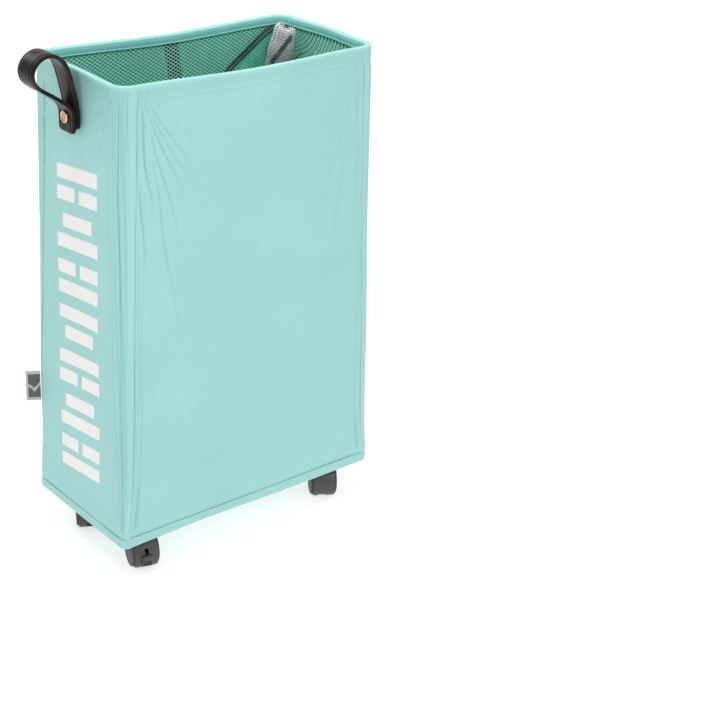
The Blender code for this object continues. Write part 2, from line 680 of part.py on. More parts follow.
def main():
    for old in list(bpy.data.objects):
        bpy.data.objects.remove(old, do_unlink=True)
    fabric = material("coated_fabric", TEAL, 0.55)
    net = material("mesh_net", MESH_TEAL, 0.8)
    grey_net = material("grey_net", GREY_MESH, 0.8)
    webbing = material("webbing", WEBBING, 0.85)
    tag = material("woven_tag", TAG_GREY, 0.85)
    board = material("base_board", BOARD, 0.6)
    foam = material("floor_foam", TEAL, 0.8)
    leather = material("black_leather", BLACK, 0.38)
    plastic = material("caster_plastic", CHARCOAL, 0.45)
    tyre = material("wheel_plastic", CHARCOAL, 0.55)
    steel = material("steel", STEEL, 0.35, 1.0)
    brass = material("copper_rivet", BRASS, 0.3, 1.0)

    make_bag_shell(fabric)
    make_bottom_cover(fabric)
    make_base_board(board)
    make_floor_pad(foam)
    make_mesh_liner(net)
    make_cover_bunch(grey_net)
    make_inner_tapes(webbing)
    make_side_tag(tag)
    make_rim_hoop(steel)
    make_corner_rods(steel, plastic, fabric)
    make_handle(leather, brass, steel)
    for name, spot in CASTERS.items():
        make_caster(name, spot, plastic, tyre, steel)


main()
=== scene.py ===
"""Looks of a slim rolling laundry hamper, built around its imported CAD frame.

Units are metres and +Z is up, in the frame's own coordinates.  -X is the handle end and
-Y the long wall that faces the camera.  Every piece takes its place from the frame.
"""
import json
import math
import random

import bmesh
import bpy
import numpy as np
from mathutils import Matrix, Vector


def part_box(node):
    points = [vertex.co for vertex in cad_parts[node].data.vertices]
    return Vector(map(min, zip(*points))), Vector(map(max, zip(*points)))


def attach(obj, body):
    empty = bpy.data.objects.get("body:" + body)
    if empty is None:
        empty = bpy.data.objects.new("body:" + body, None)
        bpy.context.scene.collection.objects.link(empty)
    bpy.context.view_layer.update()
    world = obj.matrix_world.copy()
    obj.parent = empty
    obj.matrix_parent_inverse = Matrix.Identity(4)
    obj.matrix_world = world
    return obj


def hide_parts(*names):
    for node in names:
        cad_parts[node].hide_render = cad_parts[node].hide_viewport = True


MM = 0.001
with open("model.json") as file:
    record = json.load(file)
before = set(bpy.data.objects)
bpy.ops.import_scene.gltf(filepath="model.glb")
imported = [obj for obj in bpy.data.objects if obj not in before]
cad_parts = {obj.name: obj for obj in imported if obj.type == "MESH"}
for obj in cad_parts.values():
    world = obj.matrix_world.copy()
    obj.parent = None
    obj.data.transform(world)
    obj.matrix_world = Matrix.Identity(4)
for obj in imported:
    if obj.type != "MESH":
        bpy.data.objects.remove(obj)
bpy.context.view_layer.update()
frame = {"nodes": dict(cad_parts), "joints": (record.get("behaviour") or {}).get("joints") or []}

# ---------------------------------------------------------------- dimensions

cover_low, cover_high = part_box("bottom_cover")
BAG_X = (cover_low.x + cover_high.x) / 2
BASE_LENGTH = cover_high.x - cover_low.x
BASE_WIDTH = cover_high.y - cover_low.y
BASE_CORNER = 11 * MM
BASE_Z = cover_low.z
SEAM_Z = cover_high.z
RIM_LENGTH = 333 * MM
RIM_WIDTH = 168 * MM
RIM_CORNER = 20 * MM
RIM_Z = 560 * MM
RIM_SAG = 3.4 * MM  # how far the rim dips in the middle of a long wall
RIM_CROWN = 1.5 * MM  # how far it rises in the middle of a short one
FABRIC = 1.0 * MM
ROLL_RADIUS = 3.8 * MM
ROLL_BORE = ROLL_RADIUS - FABRIC
ROLL_Z = RIM_Z - ROLL_RADIUS
FLANGE_Z = RIM_Z - 10.5 * MM
HEM_Z = 542 * MM
COVER_INSET = 1.3 * MM  # the wall's foot stands this far inside the base cover's face
LINER_CORNER = 20 * MM
LINER_INSET = 2 * ROLL_RADIUS - 0.6 * MM
liner_low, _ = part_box("mesh_liner")
PATCH_TOP_Z = 102 * MM
FOLDS_TOP_Z = 545 * MM  # the folds that fan out begin below this height

CORNERS = ("back_left", "front_left", "front_right", "back_right")
LONG_SIDE = {"back_left": -1, "front_left": 1, "front_right": -1, "back_right": 1}
FOLD_STRENGTH = {"back_left": 0.8, "front_left": 1.0, "front_right": 0.7, "back_right": 0.7}
CASTERS = ("front_left", "front_right", "back_left", "back_right")
BRAKED = ("front_left", "back_left")


# ---------------------------------------------------------------- camera and light

def make_camera():
    """The viewpoint: in front of the near left corner and above the rim."""
    data = bpy.data.cameras.new("camera")
    data.sensor_width = 36
    data.lens = 78.75
    camera = bpy.data.objects.new("camera", data)
    camera.location = (BAG_X - 0.9661, -1.3499, 0.9967)
    heading = Matrix.Rotation(math.radians(-41.72), 4, "Z")
    pitch = Matrix.Rotation(math.radians(90 - 25.77), 4, "X")
    roll = Matrix.Rotation(math.radians(2.94), 4, "Z")
    camera.rotation_mode = "QUATERNION"
    camera.rotation_quaternion = (heading @ pitch @ roll).to_quaternion()
    bpy.context.scene.collection.objects.link(camera)
    bpy.context.scene.camera = camera


def area_light(name, place, target, size, power):
    data = bpy.data.lights.new(name, "AREA")
    data.shape = "DISK"
    data.size = size
    data.energy = power
    light = bpy.data.objects.new(name, data)
    light.location = place
    direction = Vector(target) - Vector(place)
    light.rotation_mode = "QUATERNION"
    light.rotation_quaternion = direction.to_track_quat("-Z", "Y")
    bpy.context.scene.collection.objects.link(light)


def make_studio():
    scene = bpy.context.scene
    scene.view_settings.view_transform = "Standard"
    world = bpy.data.worlds.new("studio")
    world.use_nodes = True
    backdrop = world.node_tree.nodes["Background"]
    backdrop.inputs["Color"].default_value = (1.0, 1.0, 1.0, 1.0)
    backdrop.inputs["Strength"].default_value = 0.66
    scene.world = world
    middle = (BAG_X, 0, 0.3)
    area_light("key_light", (-0.8, -1.7, 1.9), middle, 0.8, 14)
    area_light("top_light", (-0.05, 0.05, 2.6), middle, 0.9, 27)
    area_light("rim_light", (-0.35, 2.35, 1.6), (BAG_X, 0, 0.4), 1.0, 9)
    mesh = bpy.data.meshes.new("studio_floor")
    half = 6.0
    corners = [(-half, -half, 0), (half, -half, 0), (half, half, 0), (-half, half, 0)]
    mesh.from_pydata(corners, [], [(0, 1, 2, 3)])
    floor = bpy.data.objects.new("studio_floor", mesh)
    bpy.context.scene.collection.objects.link(floor)
    paint = bpy.data.materials.new("floor_paint")
    paint.use_nodes = True
    shader = paint.node_tree.nodes["Principled BSDF"]
    shader.inputs["Base Color"].default_value = (0.46, 0.46, 0.46, 1)
    shader.inputs["Roughness"].default_value = 0.9
    shader.inputs["Emission Color"].default_value = (1, 1, 1, 1)
    shader.inputs["Emission Strength"].default_value = 0.68
    mesh.materials.append(paint)


make_camera()
make_studio()


# ---------------------------------------------------------------- materials

WEAVE = 0.9 * MM
WHITE = (1.0, 1.0, 1.0)


class Shader:
    """A Principled material with a few short-hands for its node tree."""

    def __init__(self, name, colour, roughness, metallic=0.0, sheen=0.0, specular=0.5):
        self.material = bpy.data.materials.new(name)
        self.material.use_nodes = True
        self.tree = self.material.node_tree
        self.bsdf = self.tree.nodes["Principled BSDF"]
        values = {"Base Color": (*colour, 1.0), "Roughness": roughness, "Metallic": metallic,
                  "Sheen Weight": sheen, "Specular IOR Level": specular}
        for socket, value in values.items():
            self.bsdf.inputs[socket].default_value = value

    def node(self, kind, **settings):
        made = self.tree.nodes.new(kind)
        for key, value in settings.items():
            setattr(made, key, value)
        return made

    def link(self, source, target):
        self.tree.links.new(source, target)

    def math(self, operation, first, second):
        made = self.node("ShaderNodeMath", operation=operation)
        for socket, value in zip(made.inputs, (first, second)):
            if isinstance(value, (int, float)):
                socket.default_value = value
            else:
                self.link(value, socket)
        return made.outputs[0]

    def coordinates(self):
        return self.node("ShaderNodeTexCoord").outputs["Object"]

    def axes(self):
        split = self.node("ShaderNodeSeparateXYZ")
        self.link(self.coordinates(), split.inputs[0])
        return split.outputs

    def noise(self, scale, detail=2.0, stretch=(1, 1, 1)):
        made = self.node("ShaderNodeTexNoise")
        made.inputs["Scale"].default_value = scale
        made.inputs["Detail"].default_value = detail
        mapping = self.node("ShaderNodeMapping")
        mapping.inputs["Scale"].default_value = stretch
        self.link(self.coordinates(), mapping.inputs["Vector"])
        self.link(mapping.outputs[0], made.inputs["Vector"])
        return made.outputs["Fac"]

    def wave(self, value, pitch):
        return self.math("SINE", self.math("MULTIPLY", value, math.tau / pitch), 0.0)

    def ramp(self, value, stops):
        """A colour ramp of (position, colour) stops."""
        made = self.node("ShaderNodeValToRGB")
        elements = made.color_ramp.elements
        while len(elements) < len(stops):
            elements.new(0.5)
        for element, (position, colour) in zip(elements, stops):
            element.position = position
            element.color = (*colour, 1.0)
        self.link(value, made.inputs[0])
        return made.outputs[0]

    def multiply(self, tone, tint, share=1.0):
        """One colour output darkened by another."""
        made = self.node("ShaderNodeMix", data_type="RGBA", blend_type="MULTIPLY")
        made.inputs[0].default_value = share
        self.link(tone, made.inputs[6])
        self.link(tint, made.inputs[7])
        return made.outputs[2]

    def paint(self, tone):
        self.link(tone, self.bsdf.inputs["Base Color"])

    def gloss(self, value, low, high):
        """Roughness that goes from low to high with a 0..1 value."""
        made = self.node("ShaderNodeMapRange")
        made.inputs["To Min"].default_value = low
        made.inputs["To Max"].default_value = high
        self.link(value, made.inputs["Value"])
        self.link(made.outputs[0], self.bsdf.inputs["Roughness"])

    def bump(self, height, strength, distance):
        made = self.node("ShaderNodeBump")
        made.inputs["Strength"].default_value = strength
        made.inputs["Distance"].default_value = distance
        self.link(height, made.inputs["Height"])
        self.link(made.outputs[0], self.bsdf.inputs["Normal"])

    def weave_height(self, level=False):
        """Plain weave: x+y against z on walls, x against y on level faces."""
        x, y, z = self.axes()
        across = x if level else self.math("ADD", x, y)
        up = y if level else z
        knots = self.math("MULTIPLY", self.wave(across, WEAVE), self.wave(up, WEAVE))
        return self.math("ADD", self.math("MULTIPLY", knots, 0.5), 0.5)


def scaled(colour, factor):
    return tuple(min(1.0, c * factor) for c in colour)


def coated_fabric(name, colour, level=False, darker=0.93, creased=False):
    """Oxford cloth with a satin coating: fine plain weave, faint mottling, painted crease shade if creased.
    """
    made = Shader(name, colour, 0.5, sheen=0.05, specular=0.38)
    tone = made.ramp(made.noise(9.0, 3.0), [(0.3, scaled(colour, darker)), (0.7, colour)])
    if creased:
        # Painted shade in the grooves, the base seam and under the rim roll, and painted highlight on the
        # ridges
        crease = made.node("ShaderNodeAttribute", attribute_name="crease").outputs["Fac"]
        painted_crease_shade = [(0.0, (0.50, 0.66, 0.68)), (0.5, (0.93, 0.94, 0.94)), (1.0, WHITE)]
        tone = made.multiply(tone, made.ramp(crease, painted_crease_shade))
    weave = made.weave_height(level)
    made.paint(made.multiply(tone, made.ramp(weave, [(0.0, scaled(colour, 0.97)), (1.0, WHITE)]), 0.12))
    made.gloss(made.noise(240.0), 0.44, 0.58)
    fibres = made.math("MULTIPLY", made.noise(1600.0, 1.0), 0.4)
    made.bump(made.math("ADD", weave, fibres), 0.22, 0.12 * MM)
    return made.material


def net_yarn(name, light, dark, pitch=0.7 * MM, low_tint=None):
    """Polyester yarn: speckled, with a fine twist; low_tint colours it lower down."""
    made = Shader(name, light, 0.6, sheen=0.04, specular=0.25)
    tone = made.ramp(made.noise(420.0), [(0.3, dark), (0.6, light)])
    x, y, z = made.axes()
    if low_tint:
        height = made.math("DIVIDE", made.math("SUBTRACT", z, 500 * MM), 45 * MM)
        tone = made.multiply(tone, made.ramp(height, [(0.0, low_tint), (0.8, WHITE)]))
    made.paint(tone)
    made.bump(made.wave(made.math("ADD", made.math("ADD", x, y), z), pitch), 0.35, 0.1 * MM)
    return made.material


def leather(name, colour, shine):
    """Black-brown leather: pebbled grain, and paler streaks along the strap, painted as highlights."""
    made = Shader(name, colour, 0.3, specular=0.13)
    # Painted highlight: streaks that rise to the shine colour along the strap
    tones = [(0.40, scaled(colour, 0.4)), (0.54, colour), (0.66, scaled(shine, 0.4)), (0.80, shine)]
    made.paint(made.ramp(made.noise(300.0, 3.0, (0.07, 1, 0.07)), tones))
    made.gloss(made.noise(120.0, 3.0), 0.20, 0.40)
    cells = made.node("ShaderNodeTexVoronoi", feature="SMOOTH_F1")
    cells.inputs["Scale"].default_value = 1300.0
    made.link(made.coordinates(), cells.inputs["Vector"])
    made.bump(made.math("ADD", cells.outputs["Distance"], made.noise(500.0, 3.0)), 0.3, 0.12 * MM)
    return made.material


def moulded_plastic(name, colour, roughness):
    """Injection-moulded plastic: fine spark texture and slightly uneven gloss."""
    made = Shader(name, colour, roughness)
    made.paint(made.ramp(made.noise(60.0, 3.0), [(0.35, colour), (0.7, scaled(colour, 1.25))]))
    made.gloss(made.noise(90.0, 3.0), roughness - 0.08, roughness + 0.1)
    made.bump(made.noise(2600.0), 0.14, 0.08 * MM)
    return made.material


def metal(name, colour, roughness):
    """Drawn or turned metal with fine brushing."""
    made = Shader(name, colour, roughness, metallic=1.0)
    brushed = made.noise(700.0, 3.0, (1, 1, 0.08))
    made.gloss(brushed, roughness - 0.08, roughness + 0.12)
    made.bump(brushed, 0.08, 0.05 * MM)
    return made.material


def webbing_tape(name, light, dark, pitch):
    """Woven tape: crosswise ribs in two tones."""
    made = Shader(name, light, 0.75, sheen=0.08)
    x, _, z = made.axes()
    ribs = made.wave(made.math("ADD", z, made.math("MULTIPLY", x, 0.4)), pitch)
    share = made.math("ADD", made.math("MULTIPLY", ribs, 0.5), 0.5)
    made.paint(made.ramp(share, [(0.2, dark), (0.8, light)]))
    made.bump(share, 0.4, 0.2 * MM)
    return made.material


def print_ink():
    """Screen-printed white: the weave shows faintly through it."""
    made = Shader("print_ink", (0.80, 0.80, 0.79), 0.5)
    made.paint(made.ramp(made.noise(900.0), [(0.25, (0.76, 0.79, 0.78)), (0.5, (0.83, 0.83, 0.82))]))
    made.bump(made.weave_height(), 0.15, 0.1 * MM)
    return made.material


def fibre_board():
    """Grey pressed board with darker and paler flecks."""
    made = Shader("fibre_board", (0.30, 0.31, 0.32), 0.7)
    flecks = [(0.4, (0.24, 0.25, 0.26)), (0.62, (0.36, 0.37, 0.38))]
    made.paint(made.ramp(made.noise(300.0, 5.0, (1, 0.25, 1)), flecks))
    made.bump(made.noise(500.0, 3.0), 0.2, 0.1 * MM)
    return made.material


TEAL = (0.360, 0.668, 0.640)
# The wall's crease ramp paints shade, so plain wall cloth is lifted back to the fabric's own teal
CREASE_LIFT = 1 / 0.935  # makes up for the crease ramp's tone on plain cloth
FABRIC_MAT = coated_fabric("coated_fabric", TEAL)
# Wall cloth with painted crease shade and highlight
WALL_MAT = coated_fabric("coated_fabric_wall", scaled(TEAL, CREASE_LIFT), creased=True)
# Darker, deeper teal for the roll's inner side and the flange: partly the inner cloth's own colour, partly
# painted shade
SHADED_TRIM_MAT = coated_fabric("fabric_trim_shaded", (0.27, 0.68, 0.63), darker=0.88)
FABRIC_LEVEL = coated_fabric("coated_fabric_level", TEAL, level=True)
# Dark teal inside the bag and on the rod sleeves: partly the coating's own colour, partly painted shade
# behind the net
LINING_MAT = coated_fabric("fabric_inside", (0.085, 0.51, 0.40))
THREAD_MAT = net_yarn("sewing_thread", (0.36, 0.67, 0.64), (0.32, 0.62, 0.59), 0.5 * MM)
SEAM_THREAD_MAT = net_yarn("seam_thread", (0.17, 0.38, 0.36), (0.12, 0.30, 0.28), 0.5 * MM)
NET_MAT = net_yarn("net_yarn", (0.50, 1.0, 0.86), (0.40, 0.93, 0.78))
COVER_NET_MAT = net_yarn("cover_net_yarn", (0.24, 0.96, 0.72), (0.18, 0.84, 0.60))
GREY_NET_MAT = net_yarn("grey_net_yarn", (0.97, 0.92, 0.97), (0.84, 0.79, 0.84), low_tint=(0.26, 0.46, 0.42))
# Near-black sheet inside the gathered net: painted shade between its folds
BUNCH_SHADE_MAT = net_yarn("net_bunch_shade", (0.15, 0.19, 0.19), (0.09, 0.12, 0.12))
CORD_MAT = webbing_tape("drawcord", (0.13, 0.15, 0.15), (0.006, 0.010, 0.010), 2.6 * MM)
WEBBING_MAT = webbing_tape("webbing", (0.014, 0.020, 0.019), (0.003, 0.004, 0.004), 1.6 * MM)
CASING_MAT = webbing_tape("casing_tape", (0.10, 0.42, 0.34), (0.02, 0.13, 0.10), 1.4 * MM)
TAG_MAT = webbing_tape("woven_tag", (0.13, 0.13, 0.135), (0.06, 0.06, 0.065), 0.8 * MM)
TAG_LIGHT_MAT = webbing_tape("woven_tag_light", (0.52, 0.52, 0.52), (0.38, 0.38, 0.39), 0.8 * MM)
LEATHER_MAT = leather("black_leather", (0.017, 0.012, 0.012), (0.15, 0.12, 0.115))
# Painted highlight: pale thin lines just outside the handle's grooves
GROOVE_HIGHLIGHT_MAT = leather("leather_groove_highlight", (0.10, 0.075, 0.072), (0.34, 0.29, 0.28))
HOOD_MAT = moulded_plastic("caster_plastic", (0.057, 0.051, 0.050), 0.40)
WHEEL_MAT = moulded_plastic("wheel_plastic", (0.038, 0.039, 0.039), 0.5)
TREAD_MAT = moulded_plastic("wheel_tread", (0.040, 0.039, 0.039), 0.6)
STEEL_MAT = metal("steel", (0.56, 0.57, 0.58), 0.34)
COPPER_MAT = metal("copper_rim", (0.74, 0.50, 0.34), 0.3)
COPPER_DARK_MAT = metal("copper_centre", (0.60, 0.33, 0.18), 0.36)
INK_MAT = print_ink()
BOARD_MAT = fibre_board()


# ---------------------------------------------------------------- mesh helpers

def make_piece(name, points, faces, materials, body="hamper", sharp=None, kinds=None):
    """A mesh object that rides on a body; kinds gives each face's material."""
    mesh = bpy.data.meshes.new(name)
    mesh.from_pydata([tuple(p) for p in points], [], faces)
    for mat in materials:
        mesh.materials.append(mat)
    if kinds is not None:
        mesh.polygons.foreach_set("material_index", kinds)
    mesh.shade_smooth()
    if sharp:
        mesh.set_sharp_from_angle(angle=math.radians(sharp))
    mesh.update()
    obj = bpy.data.objects.new(name, mesh)
    bpy.context.scene.collection.objects.link(obj)
    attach(obj, body)
    return obj


def make_solid(name, points, faces, materials, body="hamper", sharp=None, kinds=None):
    """A piece whose faces are turned one way, outwards where it is closed."""
    bm = bmesh.new()
    verts = [bm.verts.new(p) for p in points]
    for i, face in enumerate(faces):
        made = bm.faces.new([verts[k] for k in face])
        made.material_index = 0 if kinds is None else kinds[i]
    bmesh.ops.recalc_face_normals(bm, faces=bm.faces)
    bm.verts.index_update()
    turned = [[v.index for v in f.verts] for f in bm.faces]
    placed = [v.co.copy() for v in bm.verts]
    indices = [f.material_index for f in bm.faces]
    bm.free()
    return make_piece(name, placed, turned, materials, body, sharp, indices)


def strip_faces(rows, columns, wrap_columns=False, wrap_rows=False, flip=False):
    """Quads of a rows x columns grid of vertices, numbered row by row."""
    last_row = rows if wrap_rows else rows - 1
    last_column = columns if wrap_columns else columns - 1
    i, j = np.meshgrid(np.arange(last_row), np.arange(last_column), indexing="ij")
    up, along = (i + 1) % rows, (j + 1) % columns
    quads = [i * columns + j, i * columns + along, up * columns + along, up * columns + j]
    if flip:
        quads.reverse()
    return np.stack(quads, -1).reshape(-1, 4).tolist()


def tube_faces(rings, sides):
    """Faces of a tube of rings with both ends closed."""
    ends = [list(range(sides))[::-1], list(range((rings - 1) * sides, rings * sides))]
    return strip_faces(rings, sides, wrap_columns=True) + ends


def add_bevel(obj, width, segments=2):
    bevel = obj.modifiers.new("rounded edges", "BEVEL")
    bevel.width = width
    bevel.segments = segments
    bevel.limit_method = "ANGLE"
    bevel.angle_limit = math.radians(30)


def add_solidify(obj, thickness, offset=0.0):
    shell = obj.modifiers.new("thickness", "SOLIDIFY")
    shell.thickness = thickness
    shell.offset = offset


def drill(target, place, radius, depth, turn=(0, 0, 0)):
    """Cut a round hole through a piece and keep the result as its mesh."""
    bpy.ops.mesh.primitive_cylinder_add(vertices=24, radius=radius, depth=depth, location=place,
                                        rotation=turn)
    tool = bpy.context.object
    cut = target.modifiers.new("cut", "BOOLEAN")
    cut.operation = "DIFFERENCE"
    cut.object = tool
    bpy.context.view_layer.update()
    graph = bpy.context.evaluated_depsgraph_get()
    result = bpy.data.meshes.new_from_object(target.evaluated_get(graph))
    target.modifiers.remove(cut)
    target.data = result
    bpy.data.objects.remove(tool, do_unlink=True)


def unit(rows):
    return rows / np.linalg.norm(rows, axis=-1, keepdims=True)


def lengths_along(line):
    """Distance travelled at each point of a line."""
    return np.concatenate([[0], np.cumsum(np.linalg.norm(np.diff(line, axis=0), axis=1))])


def sample(rows, places, at):
    """Points or directions, known at places, interpolated at other places."""
    return np.stack([np.interp(at, places, rows[:, k]) for k in range(3)], -1)


def bell(distance, width):
    return np.exp(-((distance / width) ** 2))


def step_between(value, low, high):
    """Smooth 0 to 1 as value goes from low to high."""
    t = np.clip((value - low) / (high - low), 0, 1)
    return t * t * (3 - 2 * t)


# ---------------------------------------------------------------- the bag's outline

def extent(z):
    """Half-length, half-width and corner radius of the plain outline at a height."""
    share = (z - BASE_Z) / (RIM_Z - BASE_Z)
    half_x = (BASE_LENGTH + (RIM_LENGTH - BASE_LENGTH) * share) / 2
    half_y = (BASE_WIDTH + (RIM_WIDTH - BASE_WIDTH) * share) / 2
    reach = np.where(z > SEAM_Z, 32 * MM, 9 * MM)
    sharper = 3.6 * MM * np.exp(-(((z - SEAM_Z) / reach) ** 2))
    return half_x, half_y, BASE_CORNER + (RIM_CORNER - BASE_CORNER) * share - sharper


middle_x, middle_y, middle_radius = extent(300 * MM)
LONG = 2 * (middle_x - middle_radius)
SHORT = 2 * (middle_y - middle_radius)
ARC = math.pi / 2 * middle_radius
PERIMETER = 2 * LONG + 2 * SHORT + 4 * ARC
# length, first and last corner-rectangle point, first and last normal angle, rim sag
SIDES = [
    (LONG, (1, 1), (-1, 1), (90, 90), RIM_SAG),
    (ARC, (-1, 1), (-1, 1), (90, 180), 0),
    (SHORT, (-1, 1), (-1, -1), (180, 180), -RIM_CROWN),
    (ARC, (-1, -1), (-1, -1), (180, 270), 0),
    (LONG, (-1, -1), (1, -1), (270, 270), RIM_SAG),
    (ARC, (1, -1), (1, -1), (270, 360), 0),
    (SHORT, (1, -1), (1, 1), (0, 0), -RIM_CROWN),
    (ARC, (1, 1), (1, 1), (0, 90), 0),
]
LEFT_START = LONG + ARC
CORNER_U = {
    "back_left": LONG + ARC / 2,
    "front_left": LONG + ARC + SHORT + ARC / 2,
    "front_right": 2 * LONG + 2 * ARC + SHORT + ARC / 2,
    "back_right": PERIMETER - ARC / 2,
}


def around(u):
    """Corner-rectangle multipliers, outward normal and rim sag at perimeter places."""
    u = np.asarray(u, float) % PERIMETER
    out = np.zeros((5,) + u.shape)
    start = 0.0
    for length, first, last, turn, sag in SIDES:
        here = (u >= start) & (u <= start + length)
        t = (u[here] - start) / length
        angle = np.radians(turn[0] + (turn[1] - turn[0]) * t)
        out[0][here] = first[0] + (last[0] - first[0]) * t
        out[1][here] = first[1] + (last[1] - first[1]) * t
        out[2][here] = np.cos(angle)
        out[3][here] = np.sin(angle)
        out[4][here] = sag * np.sin(np.pi * t) ** 2
        start += length
    return out


def corner_distance(u, name):
    """Signed distance along the wall from a corner, positive on its long wall."""
    d = (np.asarray(u, float) - CORNER_U[name] + PERIMETER / 2) % PERIMETER - PERIMETER / 2
    return d * LONG_SIDE[name]


def bag_point(u, z, inset, corner=None, lift=0.0, rim=None):
    """Points round the bag at heights z, set in from its outer outline."""
    ax, ay, nx, ny, sag = around(u)
    half_x, half_y, radius = extent(z)
    if corner is None:
        flat_x, flat_y, reach = half_x - radius, half_y - radius, radius - inset
    else:
        flat_x, flat_y, reach = half_x - inset - corner, half_y - inset - corner, corner
    share = np.clip((z - BASE_Z) / (RIM_Z - BASE_Z), 0, 1) ** 3 if rim is None else rim
    x = BAG_X + ax * flat_x + nx * reach
    y = ay * flat_y + ny * reach
    return np.stack(np.broadcast_arrays(x, y, z - sag * share + lift), -1)


# Upright creases and ridges beside each corner: place from the corner, height and width, in mm
PLEATS = [(-18.5, -0.14, 1.2), (-12.6, -0.26, 0.9), (-9.2, -0.24, 0.6), (-7.3, -0.26, 0.6)]
PLEATS += [(-5.0, -0.32, 0.6), (-2.8, -0.60, 0.55), (-1.1, -0.52, 0.55), (0.9, -0.38, 0.55)]
PLEATS += [(2.5, -0.38, 0.55), (4.0, -0.32, 0.55), (5.6, -0.26, 0.6), (11.9, -0.46, 0.6)]
PLEATS += [(13.9, -0.62, 0.7), (15.8, 0.24, 0.8), (18.6, -0.22, 1.0), (22.9, -0.20, 1.2)]
# Folds that fan out below the rim: start place, lean, curl, first and last drop, height, width
FANS = [
    (16, 0.02, 0.0010, 4, 150, 0.45, 1.7),
    (17, 0.50, 0.0, 4, 118, 0.42, 1.8),
    (20, 0.60, 0.0, 10, 110, 0.34, 1.7),
    (23, 0.72, 0.0, 6, 92, 0.36, 1.9),
    (28, 1.05, 0.0, 4, 58, 0.20, 2.2),
    (31, 2.2, 0.0, 2, 24, 0.22, 1.8),
    (13, -0.05, 0.0006, 30, 210, 0.34, 1.6),
    (18, 0.30, 0.0, 30, 190, 0.32, 1.7),
    (19, 0.17, 0.0, 60, 300, 0.26, 1.8),
    (-17, -0.35, 0.0, 4, 70, 0.26, 2.0),
    (-22, -0.9, 0.0, 3, 40, 0.18, 2.4),
]
# Open stretches of the leaning seam near the back left corner: first z, last z and depth, in mm
SEAM_DASHES = [(500, 530, 1.1), (440, 497, 1.3), (330, 436, 0.7), (200, 300, 0.6), (95, 170, 0.5)]
SIDE_SEAM = 8.7  # its distance from the corner at SIDE_SEAM_Z, in mm
SIDE_SEAM_Z = 157
SIDE_SEAM_LEAN = 0.0345
random.seed(7)
RIPPLES = []
for _ in range(9):
    length_u = PERIMETER / random.choice((5, 6, 7, 8, 9, 11, 13))
    RIPPLES.append((length_u, random.uniform(150, 420) * MM, random.uniform(0, math.tau)))


def folds(u, z):
    """Pleats, folds and seam grooves of the wall, in mm out from its plain face."""
    drop = (FOLDS_TOP_Z - z) / MM
    out = np.zeros(u.shape)
    for k, name in enumerate(CORNERS):
        s = corner_distance(u, name) / MM
        strength = FOLD_STRENGTH[name]
        body = step_between(z / MM, 57, 75) * (1 - 0.6 * step_between(z / MM, 540, 556))
        for i, (place, depth, width) in enumerate(PLEATS):
            wander = 0.5 * np.sin(z / (31 * MM) + 1.7 * i + k) + 0.4 * np.sin(z / (83 * MM) + i)
            gather = 0.11 * np.clip(z / MM - 536, 0, 20) * np.sign(place) * min(1.0, abs(place) / 8)
            fade = 0.72 + 0.28 * np.sin(z / (57 * MM) + 2.3 * i + 1.1 * k)
            out += strength * depth * fade * body * bell(s - place - wander - gather, width)
        out += 0.50 * strength * body * bell(s - 10.0, 3.2)  # the rod's sleeve
        fanned = strength * (0.45 if name == "front_right" else 1.0)
        for i, (place, lean, curl, first, last, depth, width) in enumerate(FANS):
            fall = drop - first
            fade = step_between(fall, 0, 9) * (1 - step_between(drop, 0.5 * last, last))
            off = s - place - lean * drop - curl * drop ** 2 - 1.3 * np.sin(drop / 19 + i + k)
            spread = width * (1 + np.clip(drop, 0, None) / 160)
            groove = bell(off - 1.3 * spread, 0.55 * spread)
            out += fanned * depth * fade * (0.7 * bell(off, spread) - groove)
        patch = step_between(s, 1.2, 2.4) * (1 - step_between(s, 14.6, 15.4))
        slope = PATCH_TOP_Z / MM - 0.45 * (s - 8)
        out += 0.38 * patch * (1 - step_between(z / MM, slope - 0.6, slope + 0.8))
        crease = bell(s - 20.5 - 0.02 * (z / MM - 80), 1.4)
        out -= 0.30 * crease * (1 - step_between(z / MM, 92, 128)) * step_between(z / MM, 57, 66)
    s = (u - CORNER_U["back_left"]) / MM - SIDE_SEAM - SIDE_SEAM_LEAN * (z / MM - SIDE_SEAM_Z)
    for first, last, depth in SEAM_DASHES:
        here = step_between(z / MM, first, first + 3) * (1 - step_between(z / MM, last - 3, last))
        out -= depth * here * bell(s, 0.8)
    hem = HEM_Z / MM
    pucker = 0.5 + 0.5 * np.cos(math.tau * u / (3.6 * MM))
    out -= (0.04 + 0.05 * pucker) * bell(z / MM - hem, 0.8)
    return out


def seam_dip(u):
    """How far the seam above the base cover dips in a V beside each corner, in mm."""
    dip = 0.0
    for name in CORNERS:
        s = corner_distance(u, name) / MM - 10.5
        reach = np.where(s < 0, 10, 6)
        dip = dip + 3.8 * FOLD_STRENGTH[name] * np.clip(1 - np.abs(s) / reach, 0, 1)
    return dip


